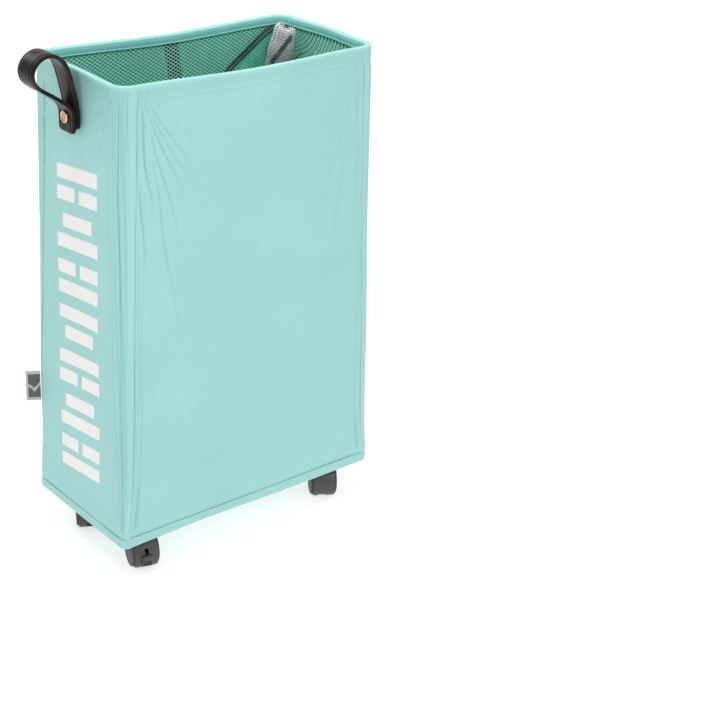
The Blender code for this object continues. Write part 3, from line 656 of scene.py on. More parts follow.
def relief(u, z):
    """How far the wall's face stands out from the plain outline."""
    u, z = np.broadcast_arrays(np.asarray(u, float), np.asarray(z, float))
    out = folds(u, z)
    for i, (length_u, length_z, phase) in enumerate(RIPPLES):
        out += 0.13 * np.sin(math.tau * (u / length_u + z / length_z * (-1) ** i) + phase)
    tuck = 0.5 + 0.5 * np.sin(math.tau * u / (11.3 * MM) + 2.0 * np.sin(u / (37 * MM)))
    out += 0.16 * tuck * bell(z / MM - HEM_Z / MM - 4.2, 2.6)
    out -= 1.5 * (1 - step_between(z / MM, 542, 556)) * step_between(z / MM, 440, 538)
    out += 0.8 * bell(z / MM - 88, 30) * bell(corner_distance(u, "back_left"), 18 * MM)
    above_seam = (z - SEAM_Z) / MM + seam_dip(u)
    roll = 0.35 + 0.55 * flatness(u)
    out += roll * bell(above_seam - 7, 3.6) * step_between(above_seam, -0.6, 1.5)
    out *= step_between(above_seam, -5.5, 1.5)
    out -= 0.7 * np.sin(math.pi * np.clip((z - BASE_Z) / (RIM_Z - BASE_Z), 0, 1)) * flatness(u)
    return out * MM


def flatness(u):
    """1 in the middle of a wall and 0 at the corners."""
    sides = [corner_distance(u, name) for name in CORNERS]
    nearest = np.min(np.abs(sides), axis=0)
    return step_between(nearest, 12 * MM, 70 * MM)


def wall_inset(z):
    """Extra inset of the wall near its foot, where it goes down behind the base cover."""
    foot, faded = 44 * MM, 200 * MM
    return COVER_INSET * np.clip(1 - (z - foot) / (faded - foot), 0, 1)


# How far the wall stands out at two corners, as (height, distance) in mm
CORNER_PULL = {
    "back_left": [(330, 0), (364, 0.4), (405, 1.1), (453, 1.3), (512, 2.2), (535, 3.0), (545, 2.4),
                  (554, 0)],
    "front_right": [(242, 0), (292, -0.3), (342, -1.2), (392, -1.4), (442, -0.6), (491, 0.9), (529, 1.8),
                    (554, 0)],
}


def wall_point(u, z, proud=0.0):
    """A point on the wall's outer face, or a little proud of it."""
    points = bag_point(u, z, wall_inset(z) - relief(u, z) - proud)
    for name, pulls in CORNER_PULL.items():
        pull = np.interp(z / MM, *zip(*pulls)) * MM / math.sqrt(2)
        away = pull * bell(corner_distance(u, name), 30 * MM)
        points[..., 0] += away if name == "front_right" else -away
        points[..., 1] += away if name == "back_left" else -away
    return points


def outward(u):
    """The walls' normals."""
    _, _, nx, ny, _ = around(u)
    return np.stack([nx, ny, np.zeros_like(nx)], -1)


def wall_columns():
    """Perimeter places of the bag's columns, crowded where the corners are creased."""
    plain = np.arange(0, PERIMETER, 6.5 * MM)
    near = []
    for name in CORNERS:
        spans = [(-30, 24, 1.2), (24, 60, 2.0)]
        if name == "front_left":
            spans = [(-32, 27, 0.6), (27, 60, 1.0), (60, 96, 1.7)]
        for low, high, pitch in spans:
            near.append(CORNER_U[name] + LONG_SIDE[name] * np.arange(low, high - 0.01, pitch) * MM)
        distance = corner_distance(plain, name) / MM
        plain = plain[(distance < spans[0][0] - 2) | (distance > spans[-1][1] + 1)]
    return np.sort(np.concatenate([plain] + near) % PERIMETER)


def wall_rows():
    """Heights of the bag's outer rows, closest at the base seam and the hem."""
    spans = [(46, 51, 1.25), (51, 55.1, 0.5), (55.5, 61, 1.0), (61, 110, 2.5), (110, 400, 6.6)]
    spans += [(400, 440, 4.0), (440, 539, 1.98), (539, 545, 0.5), (545, 556, 1.1)]
    return np.concatenate([np.arange(low, high - 0.01, pitch) for low, high, pitch in spans]) * MM


# ---------------------------------------------------------------- bag

def make_bag():
    """Walls, the hem rolled over the hoop and the inner flange, as one closed cloth."""
    columns = wall_columns()
    inner_z = (551, 546, 541, 534, 520, 480, 440, 400, 350, 300, 250, 200, 150, 100, 46)
    turns = np.radians([180, 165, 150, 135, 120, 105, 90, 70, 50, 30, 15, 0])
    rows = [wall_point(columns, z) for z in wall_rows()]
    tones = [painted_crease_shading(columns, z) for z in wall_rows()]
    gather = rim_gather(columns)
    far = corner_distance(columns, "back_right") / MM

    def roll(radius, angles, boxy):
        """Rows over the hoop; a boxy roll is squarer on its outer side."""
        for angle in angles:
            across, up = math.cos(angle), math.sin(angle)
            power = 0.55 if boxy and across < 0 else 1.0
            across = math.copysign(abs(across) ** power, across)
            height = abs(up) ** (0.62 if boxy else 1.0)
            pull = gather * MM * height if boxy else 0.0
            inset = ROLL_RADIUS + radius * across + pull
            rows.append(bag_point(columns, ROLL_Z, inset, lift=radius * height - 0.5 * pull, rim=1.0))

    roll(ROLL_RADIUS, turns, True)
    # From here on, the darker trim teal paints shade on the roll's inner slope and the flange
    trim_start = len(tones) + 9  # the trim's colour takes over on the roll's inner side
    for d in np.linspace(0, ROLL_Z - FLANGE_Z, 16)[1:]:
        ridge = 0.34 * bell(d / MM - 1.2, 0.5) + 0.30 * bell(d / MM - 2.9, 0.45)
        ridge += 0.65 * bell(d / MM - 6.0, 0.65)
        tuck = 1.5 * bell(far + 13, 1.7) - 0.9 * bell(far + 17, 1.3) + 0.7 * bell(far + 20, 1.6)
        ridge = ridge + tuck * min(1.0, 0.35 + d / (4 * MM))
        rows.append(bag_point(columns, ROLL_Z - d, 2 * ROLL_RADIUS + ridge * MM, rim=1.0))
    outside_rows = len(rows)
    for z in (FLANGE_Z - 0.25 * MM, FLANGE_Z, ROLL_Z):
        rows.append(bag_point(columns, z, 2 * ROLL_RADIUS - FABRIC, rim=1.0))
    roll(ROLL_BORE, turns[::-1][1:-1], False)
    rows += [wall_point(columns, z, -FABRIC) for z in [ROLL_Z] + [z * MM for z in inner_z]]
    count = len(rows)
    faces = strip_faces(count, len(columns), wrap_columns=True, wrap_rows=True)
    kinds = np.zeros((count, len(columns)), int)
    kinds[trim_start:outside_rows + 3] = 2
    kinds[outside_rows + 3:] = 1
    bag = make_piece("bag_cloth", np.array(rows).reshape(-1, 3), faces, [WALL_MAT, LINING_MAT, SHADED_TRIM_MAT],
                     kinds=kinds.ravel())
    # The wall's outer rows carry painted crease shade and highlight; the other rows stay plain
    tone = np.full((count, len(columns)), 0.5)
    tone[:len(tones)] = tones
    layer = bag.data.attributes.new("crease", "FLOAT", "POINT")
    layer.data.foreach_set("value", tone.ravel())
    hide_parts("bag_shell")


def painted_crease_shading(u, z):
    """Painted shade and highlight: 0 in a groove, 0.5 on plain cloth and 1 along a ridge."""
    u, z = np.broadcast_arrays(np.asarray(u, float), np.asarray(z, float))
    height = folds(u, z)
    # Painted shade along the base seam's groove and in a band under the rim roll
    seam = bell((z - SEAM_Z) / MM + seam_dip(u) - 0.2, 0.75)
    shade_under_roll = 0.09 * step_between(z / MM, 541, 551)
    tone = 0.5 + np.where(height < 0, 0.85, 0.45) * height - 0.20 * seam - shade_under_roll
    return np.clip(tone, 0, 1)


def rim_gather(u):
    """Small gathers in the roll where it turns each corner, in mm."""
    out = 0.05 * np.sin(u / (3.1 * MM)) + 0.05 * np.sin(u / (7.7 * MM) + 1)
    for name in CORNERS:
        s = corner_distance(u, name) / MM
        out = out + 0.22 * FOLD_STRENGTH[name] * np.sin(math.tau * s / 3.0) * bell(s - 2, 11)
    return out


FOOT_ROUND = 1.1 * MM
LIP_ROUND = 0.8 * MM


def make_base_cover():
    """Cloth tray under the board: a soft bulging band, tucked at the corners."""
    columns = wall_columns()[::2]
    past = corner_distance(columns, "front_left")
    hang = 1.5 + 1.0 * bell(past, 15 * MM) - 2.0 * bell(past - 110 * MM, 62 * MM)
    front = np.clip(-outward(columns)[:, 1], 0, 1)
    sag = (0.5 + hang * front) * MM  # the front edge hangs a little lower
    foot = BASE_Z - sag
    top = SEAM_Z - (0.1 + seam_dip(columns)) * MM

    def level(z, inset):
        """A row of the tray's bottom, inset in mm from the outline."""
        return bag_point(columns, z, inset * MM, corner=max(1.0, 10 - inset / 8) * MM, rim=0.0)

    def band(z, inset):
        """A row of the band round the sides."""
        rise = (z - foot) / MM
        crease = np.zeros(columns.shape)
        for name in CORNERS:
            s = corner_distance(columns, name) / MM
            crease += 0.55 * bell(np.abs(s) - 1.5 - 1.15 * rise, 1.1) * step_between(rise, 1, 4)
            crease += 0.30 * bell(np.abs(s) - 16 - 0.5 * rise, 1.3)
        for name in CORNER_PULL:
            crease += 0.7 * bell(corner_distance(columns, name), 14 * MM)
        waves = 0.10 * np.sin(columns / (9.7 * MM)) + 0.10 * np.sin(columns / (23 * MM) + 2)
        soft = step_between(z, foot, foot + 2 * MM)
        return bag_point(columns, z, inset + (crease + waves) * soft * MM, rim=0.0)

    rows = []
    for inset in (80, 60, 40, 25, 15, 11, 8, 5, 3.0, 1.8):
        rows.append(level(BASE_Z - sag * (1 - step_between(inset, 3, 14)), inset))
    for a in np.radians((25, 50, 75)):
        rows.append(band(foot + FOOT_ROUND * (1 - math.cos(a)), FOOT_ROUND * (1 - math.sin(a))))
    for t in np.linspace(0, 1, 12):
        z = foot + FOOT_ROUND + (top - LIP_ROUND - foot - FOOT_ROUND) * t
        rows.append(band(z, -0.6 * MM * math.sin(math.pi * t) ** 0.8))
    for a in np.radians((30, 60, 90)):
        rows.append(band(top - LIP_ROUND + LIP_ROUND * math.sin(a), LIP_ROUND * (1 - math.cos(a))))
    rows.append(bag_point(columns, top - 2.5 * MM, 1.05 * MM, rim=0.0))
    rows.append(bag_point(columns, BASE_Z + FABRIC, 1.4 * MM, rim=0.0))
    rows += [level(BASE_Z + FABRIC, inset) for inset in (15, 40, 80)]
    faces = tube_faces(len(rows), len(columns))
    cover = make_piece("base_cover_cloth", np.array(rows).reshape(-1, 3), faces, [FABRIC_MAT],
                       sharp=60)
    for name in CASTERS:
        low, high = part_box(f"caster_stem_{name}")
        drill(cover, ((low.x + high.x) / 2, (low.y + high.y) / 2, BASE_Z), 4.4 * MM, 12 * MM)
    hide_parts("bottom_cover")


# A stitch's rings: place along its half-length and share of its thickness
STITCH_RINGS = [(-1.0, 0.3), (-0.72, 0.8), (0.0, 1.0), (0.72, 0.8), (1.0, 0.3)]
STITCH_SIDES = 6
STITCH_WIDTH = 0.62 * MM


def make_stitches(name, runs, mat, pitch=3.6 * MM, length=2.7 * MM, height=0.3 * MM):
    """Rows of short threads.  A run is a dense line of points with outward normals."""
    points, faces = [], []
    for line, normals in runs:
        travelled = lengths_along(line)
        for start in np.arange(0, travelled[-1] - length, pitch):
            at = start + length / 2
            spot = sample(line, travelled, at)
            ahead = unit(sample(line, travelled, at + length / 2) - spot)
            out = unit(sample(normals, travelled, at))
            side = np.cross(ahead, out)
            first = len(points)
            for t, size in STITCH_RINGS:
                for k in range(STITCH_SIDES):
                    angle = math.tau * k / STITCH_SIDES
                    offset = side * math.cos(angle) * STITCH_WIDTH / 2 + out * math.sin(angle) * height
                    points.append(spot + ahead * t * length / 2 + offset * size)
            faces += [[first + v for v in face] for face in tube_faces(len(STITCH_RINGS), STITCH_SIDES)]
    make_piece(name, points, faces, [mat])


def wall_run(u, z):
    """A line on the wall's face with its normals, for stitches."""
    u, z = np.broadcast_arrays(np.asarray(u, float), np.asarray(z, float))
    return wall_point(u, z, 0.05 * MM), outward(u)


def make_seams():
    """Hem stitching, the seams beside each corner rod, and the corner patches' edges."""
    dense_u = np.linspace(0, PERIMETER, 1400)
    make_stitches("hem_stitches", [wall_run(dense_u, HEM_Z)], THREAD_MAT, height=0.1 * MM)
    seam_z = np.linspace(537 * MM, 60 * MM, 320)
    s = np.linspace(2.2, 13.6, 30)
    patch_z = (PATCH_TOP_Z / MM - 2.2 - 0.45 * (s - 8)) * MM
    seams, patches = [], []
    for name in CORNERS:
        for place, lean in ((13.4, 0.0), (-2.7, 0.0)):
            if name == "back_left" and place < 0:
                place, lean = -SIDE_SEAM, -SIDE_SEAM_LEAN
            offset = (place + lean * (seam_z / MM - SIDE_SEAM_Z)) * MM * LONG_SIDE[name]
            seams.append(wall_run(CORNER_U[name] + offset, seam_z))
        patches.append(wall_run(CORNER_U[name] + s * MM * LONG_SIDE[name], patch_z))
    make_stitches("corner_stitches", seams, SEAM_THREAD_MAT, pitch=3.1 * MM, length=1.5 * MM)
    make_stitches("patch_stitches", patches, THREAD_MAT, pitch=3.0 * MM, length=2.2 * MM)


# ---------------------------------------------------------------- print

def left_wall_u(y, z):
    """Perimeter place of a point on the handle-side wall."""
    _, half_y, radius = extent(z)
    return LEFT_START + (1 - y / (half_y - radius)) / 2 * SHORT


PRINT_TOP = 452 * MM
PRINT_PITCH = 53 * MM
PRINT_BACK = 37 * MM
PRINT_FRONT = -43 * MM
PRINT_SLANT = 9 * MM
# Bars as (first, last) shares across the wall, and the upper and lower bars of each row
WIDE, SHORTER, SPLIT = [(0, 1)], [(0.14, 0.86)], [(0, 0.45), (0.55, 1)]
PRINT_ROWS = 2 * [(WIDE, SPLIT), (SHORTER, WIDE), (SPLIT, WIDE), (WIDE, SHORTER)]
PRINT_ROWS.pop()
BAR_HEIGHTS = [(0, 0.30), (0.44, 0.74)]  # shares of the pitch below a row's top
BAR_STEPS = (24, 12)


def make_print():
    """White slanted bars, screen-printed in seven rows down the handle-side wall."""
    points, faces = [], []
    for k, row in enumerate(PRINT_ROWS):
        for bars, drops in zip(row, BAR_HEIGHTS):
            for first, last in bars:
                a, b = np.meshgrid(np.linspace(first, last, BAR_STEPS[0]),
                                   np.linspace(*drops, BAR_STEPS[1]), indexing="ij")
                y = PRINT_BACK + (PRINT_FRONT - PRINT_BACK) * a
                z = PRINT_TOP - k * PRINT_PITCH - b * PRINT_PITCH + PRINT_SLANT * a
                start = len(points)
                points += list(wall_point(left_wall_u(y, z), z, 0.13 * MM).reshape(-1, 3))
                faces += [[start + v for v in quad] for quad in strip_faces(*BAR_STEPS, flip=True)]
    made = make_piece("wall_print", points, faces, [INK_MAT])
    add_solidify(made, 0.1 * MM)


# ---------------------------------------------------------------- net lining

def net_mesh(place, columns, rows, hole=0.76, knot=0.42 * MM, dip=0.16 * MM, wrap=False,
             keep=None, pull=None):
    """A net of lozenge holes.  place(a, b) maps lattice steps to points and normals.

    Knots sit at lattice points whose a + b is odd, and holes around the even ones.  Where
    pull(a) is 1 the holes are narrow and almost meet, as in a net stretched downwards.
    """
    a, b = np.meshgrid(np.arange(columns + 1), np.arange(rows + 1), indexing="ij")
    knots = (a + b) % 2 == 1
    points, normals = place(a[knots].astype(float), b[knots].astype(float))
    index = -np.ones(a.shape, int)
    index[knots] = np.arange(int(knots.sum()))
    if wrap:
        index[-1] = index[0]
    inner = (a + b) % 2 == 0
    inner[-1] = False
    inner[:, [0, -1]] = False
    if not wrap:
        inner[0] = False
    ia, ib = a[inner], b[inner]
    if keep is not None:
        chosen = keep(ia.astype(float), ib.astype(float))
        ia, ib = ia[chosen], ib[chosen]
    steps = columns if wrap else columns + 1
    outer = [index[(ia - 1) % steps, ib], index[ia, ib - 1], index[(ia + 1) % steps, ib], index[ia, ib + 1]]
    drawn = pull(ia) if pull else 0.0
    wide = hole - 0.14 * drawn
    tall = hole + (0.90 - hole) * drawn
    all_points = [points + normals * knot]
    rim = []
    for k, (da, db) in enumerate(((-1, 0), (0, -1), (1, 0), (0, 1))):
        p, n = place(ia + da * wide, ib + db * tall)
        all_points.append(p - n * dip)
        rim.append(len(points) + k * len(ia) + np.arange(len(ia)))
    quads = []
    for k in range(4):
        m = (k + 1) % 4
        quads.append(np.stack([outer[k], outer[m], rim[m], rim[k]], -1))
    points = np.concatenate(all_points)
    quads = np.concatenate(quads)
    used = np.unique(quads)
    renumber = np.zeros(len(points), int)
    renumber[used] = np.arange(len(used))
    return points[used], renumber[quads]


NET_TOP = FLANGE_Z + 0.3 * MM
NET_STEP_U = 3.65 * MM
NET_STEP_Z = 2.15 * MM
STRETCH = 0.8  # of the net on the far short wall
NET_SHIFT = 9 * MM  # how far the stretched net is drawn sideways


def make_net_liner():
    """The net that lines the upper walls, stretched into ribs on the far short wall."""
    columns = 2 * round(PERIMETER / NET_STEP_U / 2)
    drop = NET_TOP - liner_low.z
    rows = int(drop / NET_STEP_Z)

    def pulled(u):
        """1 on the far short wall, where the net is stretched downwards."""
        s = corner_distance(u, "back_right")
        past_front = corner_distance(u, "front_right")
        on_wall = step_between(-s, 4 * MM, 70 * MM) * step_between(-past_front, -6 * MM, 20 * MM)
        return on_wall * (np.abs(s) < SHORT + ARC) * (s < 0)

    def spot(a, b):
        u = a / columns * PERIMETER
        return u, b * NET_STEP_Z * (1 + STRETCH * pulled(u))

    def place(a, b):
        u, fall = spot(a, b)
        u = u - pulled(u) * NET_SHIFT * (1 - np.exp(-fall / (18 * MM)))
        sway = 0.8 * MM * np.sin(u / (41 * MM)) * np.sin(b * NET_STEP_Z / (23 * MM))
        rim = np.clip(1 - fall / (70 * MM), 0, 1)
        points = bag_point(u, NET_TOP - fall, LINER_INSET + sway, corner=LINER_CORNER, rim=rim)
        return points, -outward(u)

    def keep(a, b):
        return spot(a, b)[1] < drop

    points, quads = net_mesh(place, columns, rows, wrap=True, keep=keep,
                             pull=lambda a: pulled(a / columns * PERIMETER))
    net = make_piece("net_lining", points, quads.tolist(), [NET_MAT])
    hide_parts("mesh_liner")


def back_wall_point(x, z, depth):
    """A point in front of the back wall's inside; x is measured from the bag's middle."""
    _, half_y, _ = extent(z)
    return np.stack(np.broadcast_arrays(BAG_X + x, half_y - depth, z), -1)


# The cord casing's route on the back wall: x from the bag's middle and z, in mm
CASING_ROUTE = [(62, 492), (75, 503), (92, 516), (112, 530), (128, 541), (143, 548.5)]


def make_cover_net():
    """The drawstring cover's loose net, lying over the lining near the far corner."""
    step_u, step_z = 3.0 * MM, 2.1 * MM
    columns, rows = 30, 60
    route_x, route_z = np.array(CASING_ROUTE, float).T * MM

    def spot(a, b):
        x = 60 * MM + a * step_u - 0.15 * b * step_z
        z = 549 * MM - b * step_z + 0.12 * a * step_u - 3 * MM
        return x, z

    def place(a, b):
        x, z = spot(a, b)
        fold = bell((x - 118 * MM + 0.75 * (540 * MM - z)) / MM, 2.5)
        depth = (9.4 + 1.6 * fold + 0.5 * np.sin(x / (9 * MM))) * MM
        normal = np.zeros(np.shape(x) + (3,))
        normal[..., 1] = -1
        return back_wall_point(x, z, depth), normal

    def keep(a, b):
        x, z = spot(a, b)
        below_casing = z < np.interp(x, route_x, route_z) - 2.5 * MM
        return below_casing & (z < 546.5 * MM) & (x < 142 * MM) & (x > 62 * MM)

    points, quads = net_mesh(place, columns, rows, hole=0.70, knot=0.35 * MM, dip=0.1 * MM, keep=keep)
    net = make_piece("cover_net", points, quads.tolist(), [COVER_NET_MAT])


def sweep_strip(name, line, across, profile, mat):
    """Sweep a (width, height) profile along a line; across is its width direction."""
    line = np.asarray(line, float)
    ahead = unit(np.gradient(line, axis=0))
    side = np.asarray(across, float)
    side = unit(side - ahead * (ahead @ side)[:, None])
    out = np.cross(ahead, side)
    points = np.stack([line + side * w + out * h for w, h in profile], 1)
    faces = tube_faces(*points.shape[:2])
    return make_solid(name, points.reshape(-1, 3), faces, [mat], sharp=50)


def smooth_line(knots, per_span):
    """Catmull-Rom curve through knots."""
    knots = [np.asarray(k, float) for k in knots]
    padded = [2 * knots[0] - knots[1]] + knots + [2 * knots[-1] - knots[-2]]
    line = []
    for a, b, c, d in zip(padded, padded[1:], padded[2:], padded[3:]):
        for t in np.arange(per_span) / per_span:
            point = b + (c - a) * t / 2 + (2 * a - 5 * b + 4 * c - d) * t ** 2 / 2
            line.append(point + (3 * b - a - 3 * c + d) * t ** 3 / 2)
    line.append(knots[-1])
    return np.array(line)


def make_casing():
    """The cover's cord casing: a flat tape between two corded edges."""
    knots = [back_wall_point(x * MM, z * MM, 12.2 * MM) for x, z in CASING_ROUTE]
    line = smooth_line(knots, 8)
    upper = [(w * MM, (0.45 + 0.65 * bell(abs(w) - 2.6, 0.55)) * MM) for w in np.linspace(-3.3, 3.3, 23)]
    profile = upper + [(w, -h) for w, h in reversed(upper)]
    casing = sweep_strip("cord_casing_tape", line, (0.63, 0, -0.77), profile, WEBBING_MAT)
    casing.data.materials.append(CASING_MAT)
    for face in casing.data.polygons:
        if np.linalg.norm(line - face.center, axis=1).min() < 1.9 * MM:
            face.material_index = 1
    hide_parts("cord_casing")


def make_wall_strap():
    """Webbing strap that hangs behind the net."""
    low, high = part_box("wall_strap")
    z = np.linspace(high.z + 1.5 * MM, low.z, 130)
    lean = 0.17
    x = BAG_X + 6 * MM + (545 * MM - z) * lean
    _, half_y, _ = extent(z)
    ribs = 0.10 * MM * np.sin(z / (0.55 * MM))
    line = np.stack([x, half_y - 2.4 * MM + ribs, z], -1)
    profile = [(w * MM, 0.55 * MM) for w in np.linspace(-9, 9, 7)]
    profile = [(-9.3 * MM, 0)] + profile + [(9.3 * MM, 0)] + [(w, -h) for w, h in reversed(profile)]
    strap = sweep_strip("wall_strap_webbing", line, (1, 0, 0), profile, WEBBING_MAT)
    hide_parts("wall_strap")


BUNCH_TOP = 555.5 * MM
# Height, half-width and depth of the gathered net, in mm
BUNCH_STATIONS = [(425, 10, 12), (460, 13, 16), (505, 13.5, 16), (532, 12.4, 15), (545, 12, 14)]
BUNCH_STATIONS += [(550.5, 11, 12), (553.5, 8.5, 8), (555.5, 2, 1.5)]


def bunch_place(t, z, inside=0.0):
    """A point and normal on the gathered net; t = -90 degrees faces into the bag."""
    low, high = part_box("mesh_cover_bunch")
    heights, wide, deep = np.array(BUNCH_STATIONS).T * MM
    half_wide = np.interp(z, heights, wide)
    half_deep = 0.62 * np.interp(z, heights, deep)
    pleat = 1 + 0.10 * np.sin(7 * t + 2.2 * np.sin(z / (26 * MM)) + z / (14 * MM))
    pleat = pleat + 0.05 * np.sin(15 * t + z / (9 * MM)) + 0.05 * np.sin(z / (4.6 * MM))
    along = (half_wide - inside) * pleat * np.cos(t)
    across = (half_deep - inside) * pleat * np.sin(t)
    lobes = 2.2 * MM * np.cos(2 * t) * step_between(z, 545 * MM, 556 * MM)
    c = math.sqrt(0.5)
    lean = 0.16 * (z - 540 * MM)
    x = (low.x + high.x) / 2 + 1.1 * MM + c * (along + across) + lean
    y = (low.y + high.y) / 2 - 1.1 * MM + c * (across - along) - lean
    nx = c * (np.cos(t) + np.sin(t))
    ny = c * (np.sin(t) - np.cos(t))
    slope = -2.5 * MM * np.cos(t)
    return np.stack([x, y, z + lobes + slope], -1), np.stack([nx, ny, np.zeros_like(nx)], -1)


def make_bunch():
    """The cover's gathered grey net, folded over itself in the far corner, with a dark painted-shade core.
    """
    low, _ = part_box("mesh_cover_bunch")
    columns, rows = 36, 88

    def place(a, b):
        return bunch_place(a / columns * math.tau, BUNCH_TOP - b / rows * (BUNCH_TOP - low.z))

    points, quads = net_mesh(place, columns, rows, hole=0.68, knot=0.45 * MM, dip=0.1 * MM, wrap=True)
    net = make_piece("gathered_net", points, quads.tolist(), [GREY_NET_MAT])
    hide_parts("mesh_cover_bunch")
    # A dark inner sheet is painted shade deep inside the gathered folds
    count = 40
    a, b = np.meshgrid(np.arange(count), np.linspace(0, 1, count), indexing="ij")
    z = 554.5 * MM - b * (552.5 * MM - low.z)
    inner, _ = bunch_place(a / count * math.tau, z, 1.3 * MM)
    core_faces = strip_faces(count, count, wrap_rows=True)
    make_piece("gathered_net_shade_core", inner.reshape(-1, 3), core_faces, [BUNCH_SHADE_MAT])
    share = np.linspace(0, 1, count)
    cord, _ = bunch_place(np.radians(-51 - 63.5 * share), (547.4 - 34.9 * share) * MM, -1.2 * MM)
    tail_end, _ = bunch_place(np.radians(-50.0), 515.8 * MM, -1.2 * MM)
    tail_start = np.array([BAG_X + 158 * MM, 37 * MM, 525 * MM])
    sag = np.array([0, 0, -1.5 * MM]) * np.sin(math.pi * share)[:, None]
    tail = tail_start + (tail_end - tail_start) * share[:, None] + sag
    for name, line, half in (("cover_drawcord", cord, 2.5), ("cover_drawcord_tail", tail, 0.9)):
        loop = [(half * MM * math.cos(a), 0.6 * MM * math.sin(a)) for a in np.radians(range(0, 360, 30))]
        sweep_strip(name, line, (0.55, -0.45, -0.70), loop, CORD_MAT)


TAG_HALF = 0.55  # mm
TAG_FOLD = 0.93  # share of the tag's reach where its folded edge begins to round


def make_side_tag():
    """Folded woven tag in the back left corner seam: cloth loop, border and a chevron."""
    low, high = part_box("side_tag")
    angle = math.radians(150)
    direction = np.array([math.cos(angle), math.sin(angle), 0])
    side = np.array([-direction[1], direction[0], 0])
    root = np.array([high.x, low.y, 0]) + direction * 0.4 * MM
    reach = math.hypot(high.x - low.x, high.y - low.y) - 1.6 * MM
    height = high.z - low.z
    face_line = [(t * reach, TAG_HALF) for t in np.linspace(0, TAG_FOLD, 12)]
    outline = list(face_line)
    for a in np.radians((30, 60, 90, 120, 150)):
        outline.append((reach * TAG_FOLD + 2 * TAG_HALF * MM * math.sin(a), TAG_HALF * math.cos(a)))
    outline += [(t, -half) for t, half in reversed(face_line)]
    points = []
    levels = np.linspace(0, 1, 20)
    for level in levels:
        for along, half in outline:
            curl = 0.9 * MM * math.sin(math.pi * level) * (along / reach) ** 2
            place = root + direction * along + side * (half * MM + curl)
            points.append(place + np.array([0, 0, low.z + height * level]))
    faces = tube_faces(len(levels), len(outline))
    kinds = []
    for face in faces:
        centre = np.mean([points[k] for k in face], axis=0)
        share = (centre[2] - low.z) / height
        along = (centre - root) @ direction / reach
        border = share < 0.1 or share > 0.9 or along > 0.86
        chevron = abs(share - 0.36 - 0.5 * abs(along - 0.45)) < 0.055
        kinds.append(1 if border or chevron else 0)
    tag = make_solid("woven_side_tag", points, faces, [TAG_MAT, TAG_LIGHT_MAT],
                     sharp=50, kinds=kinds)
    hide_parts("side_tag")


def make_floor_pad():
    """Foam pad in a cloth cover, crowned and sewn through in two rows."""
    low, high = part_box("floor_pad")
    count_x, count_y = 120, 60
    corner = 28 * MM
    a, b = np.meshgrid(np.linspace(-1, 1, count_x), np.linspace(-1, 1, count_y), indexing="ij")
    half_x, half_y = (high.x - low.x) / 2, (high.y - low.y) / 2
    x, y = a * half_x, b * half_y
    out_x = np.clip(np.abs(x) - half_x + corner, 0, None)
    out_y = np.clip(np.abs(y) - half_y + corner, 0, None)
    shrink = np.maximum(out_x, out_y) / np.maximum(np.hypot(out_x, out_y), 1e-9)
    x = np.sign(x) * (np.abs(x) - out_x + out_x * shrink)
    y = np.sign(y) * (np.abs(y) - out_y + out_y * shrink)
    edge = 1 - np.maximum((np.abs(a) - 0.93) / 0.07, (np.abs(b) - 0.88) / 0.12).clip(0, 1) ** 2.2
    quilt = 0.0
    for seam in (-0.34, 0.34):
        quilt = quilt + 2.0 * bell((y - seam * 2 * half_y) / MM, 5)
    for seam in (-0.5, 0.0, 0.5):
        quilt = quilt + 2.0 * bell((x - seam * 2 * half_x) / MM, 5)
    puff = 0.8 * np.sin(x / (38 * MM)) * np.sin(y / (31 * MM)) - np.clip(quilt, 0, 2.4)
    top = low.z + (high.z - low.z) * (0.35 + 0.65 * edge ** 0.5) + puff * MM * edge
    middle = (low + high) / 2
    upper = np.stack([middle.x + x, middle.y + y, top], -1)
    lower = np.stack([middle.x + x, middle.y + y, low.z + (1 - edge) * 2 * MM], -1)
    total = count_x * count_y
    faces = strip_faces(count_x, count_y, flip=True)
    faces += [[v + total for v in quad[::-1]] for quad in faces]
    rim = [i * count_y for i in range(count_x)]
    rim += [(count_x - 1) * count_y + j for j in range(1, count_y)]
    rim += [i * count_y + count_y - 1 for i in range(count_x - 2, -1, -1)]
    rim += list(range(count_y - 2, 0, -1))
    faces += [[i, j, j + total, i + total] for i, j in zip(rim, rim[1:] + rim[:1])]
    pad = make_solid("floor_pad_cloth", np.stack([upper, lower]).reshape(-1, 3), faces, [FABRIC_LEVEL],
                     sharp=70)
    for name in CASTERS:
        stem_low, stem_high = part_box(f"caster_stem_{name}")
        place = (stem_low + stem_high) / 2
        place.z = stem_high.z + 0.3 * MM - 10 * MM
        drill(pad, place, 10 * MM, 20 * MM)
    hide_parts("floor_pad")


def make_rod_sleeves():
    """Cloth channels round the corner rods, slightly wrinkled."""
    levels, sides = 140, 20
    radius = 3.4 * MM
    for name in CORNERS:
        low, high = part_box(f"rod_sleeve_{name}")
        left, front = "left" in name, "front" in name
        foot = np.array([low.x + radius if left else high.x - radius,
                         low.y + radius if front else high.y - radius, low.z])
        head = np.array([high.x - radius if left else low.x + radius,
                         high.y - radius if front else low.y + radius, high.z])
        points = []
        for t in np.linspace(0, 1, levels):
            centre = foot + (head - foot) * t
            z = centre[2] / MM
            for angle in np.arange(sides) * math.tau / sides:
                ripple = 0.12 * math.sin(z / 3.1 + 2 * angle) + 0.10 * math.sin(z / 7.7 - 3 * angle)
                r = radius + (ripple - 0.1) * MM
                points.append(centre + np.array([r * math.cos(angle), r * math.sin(angle), 0]))
        faces = strip_faces(levels, sides, wrap_columns=True)
        sleeve = make_piece(f"rod_sleeve_cloth_{name}", points, faces, [LINING_MAT])
        add_solidify(sleeve, 0.7 * MM, -1.0)
        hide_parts(f"rod_sleeve_{name}")


# ---------------------------------------------------------------- handle

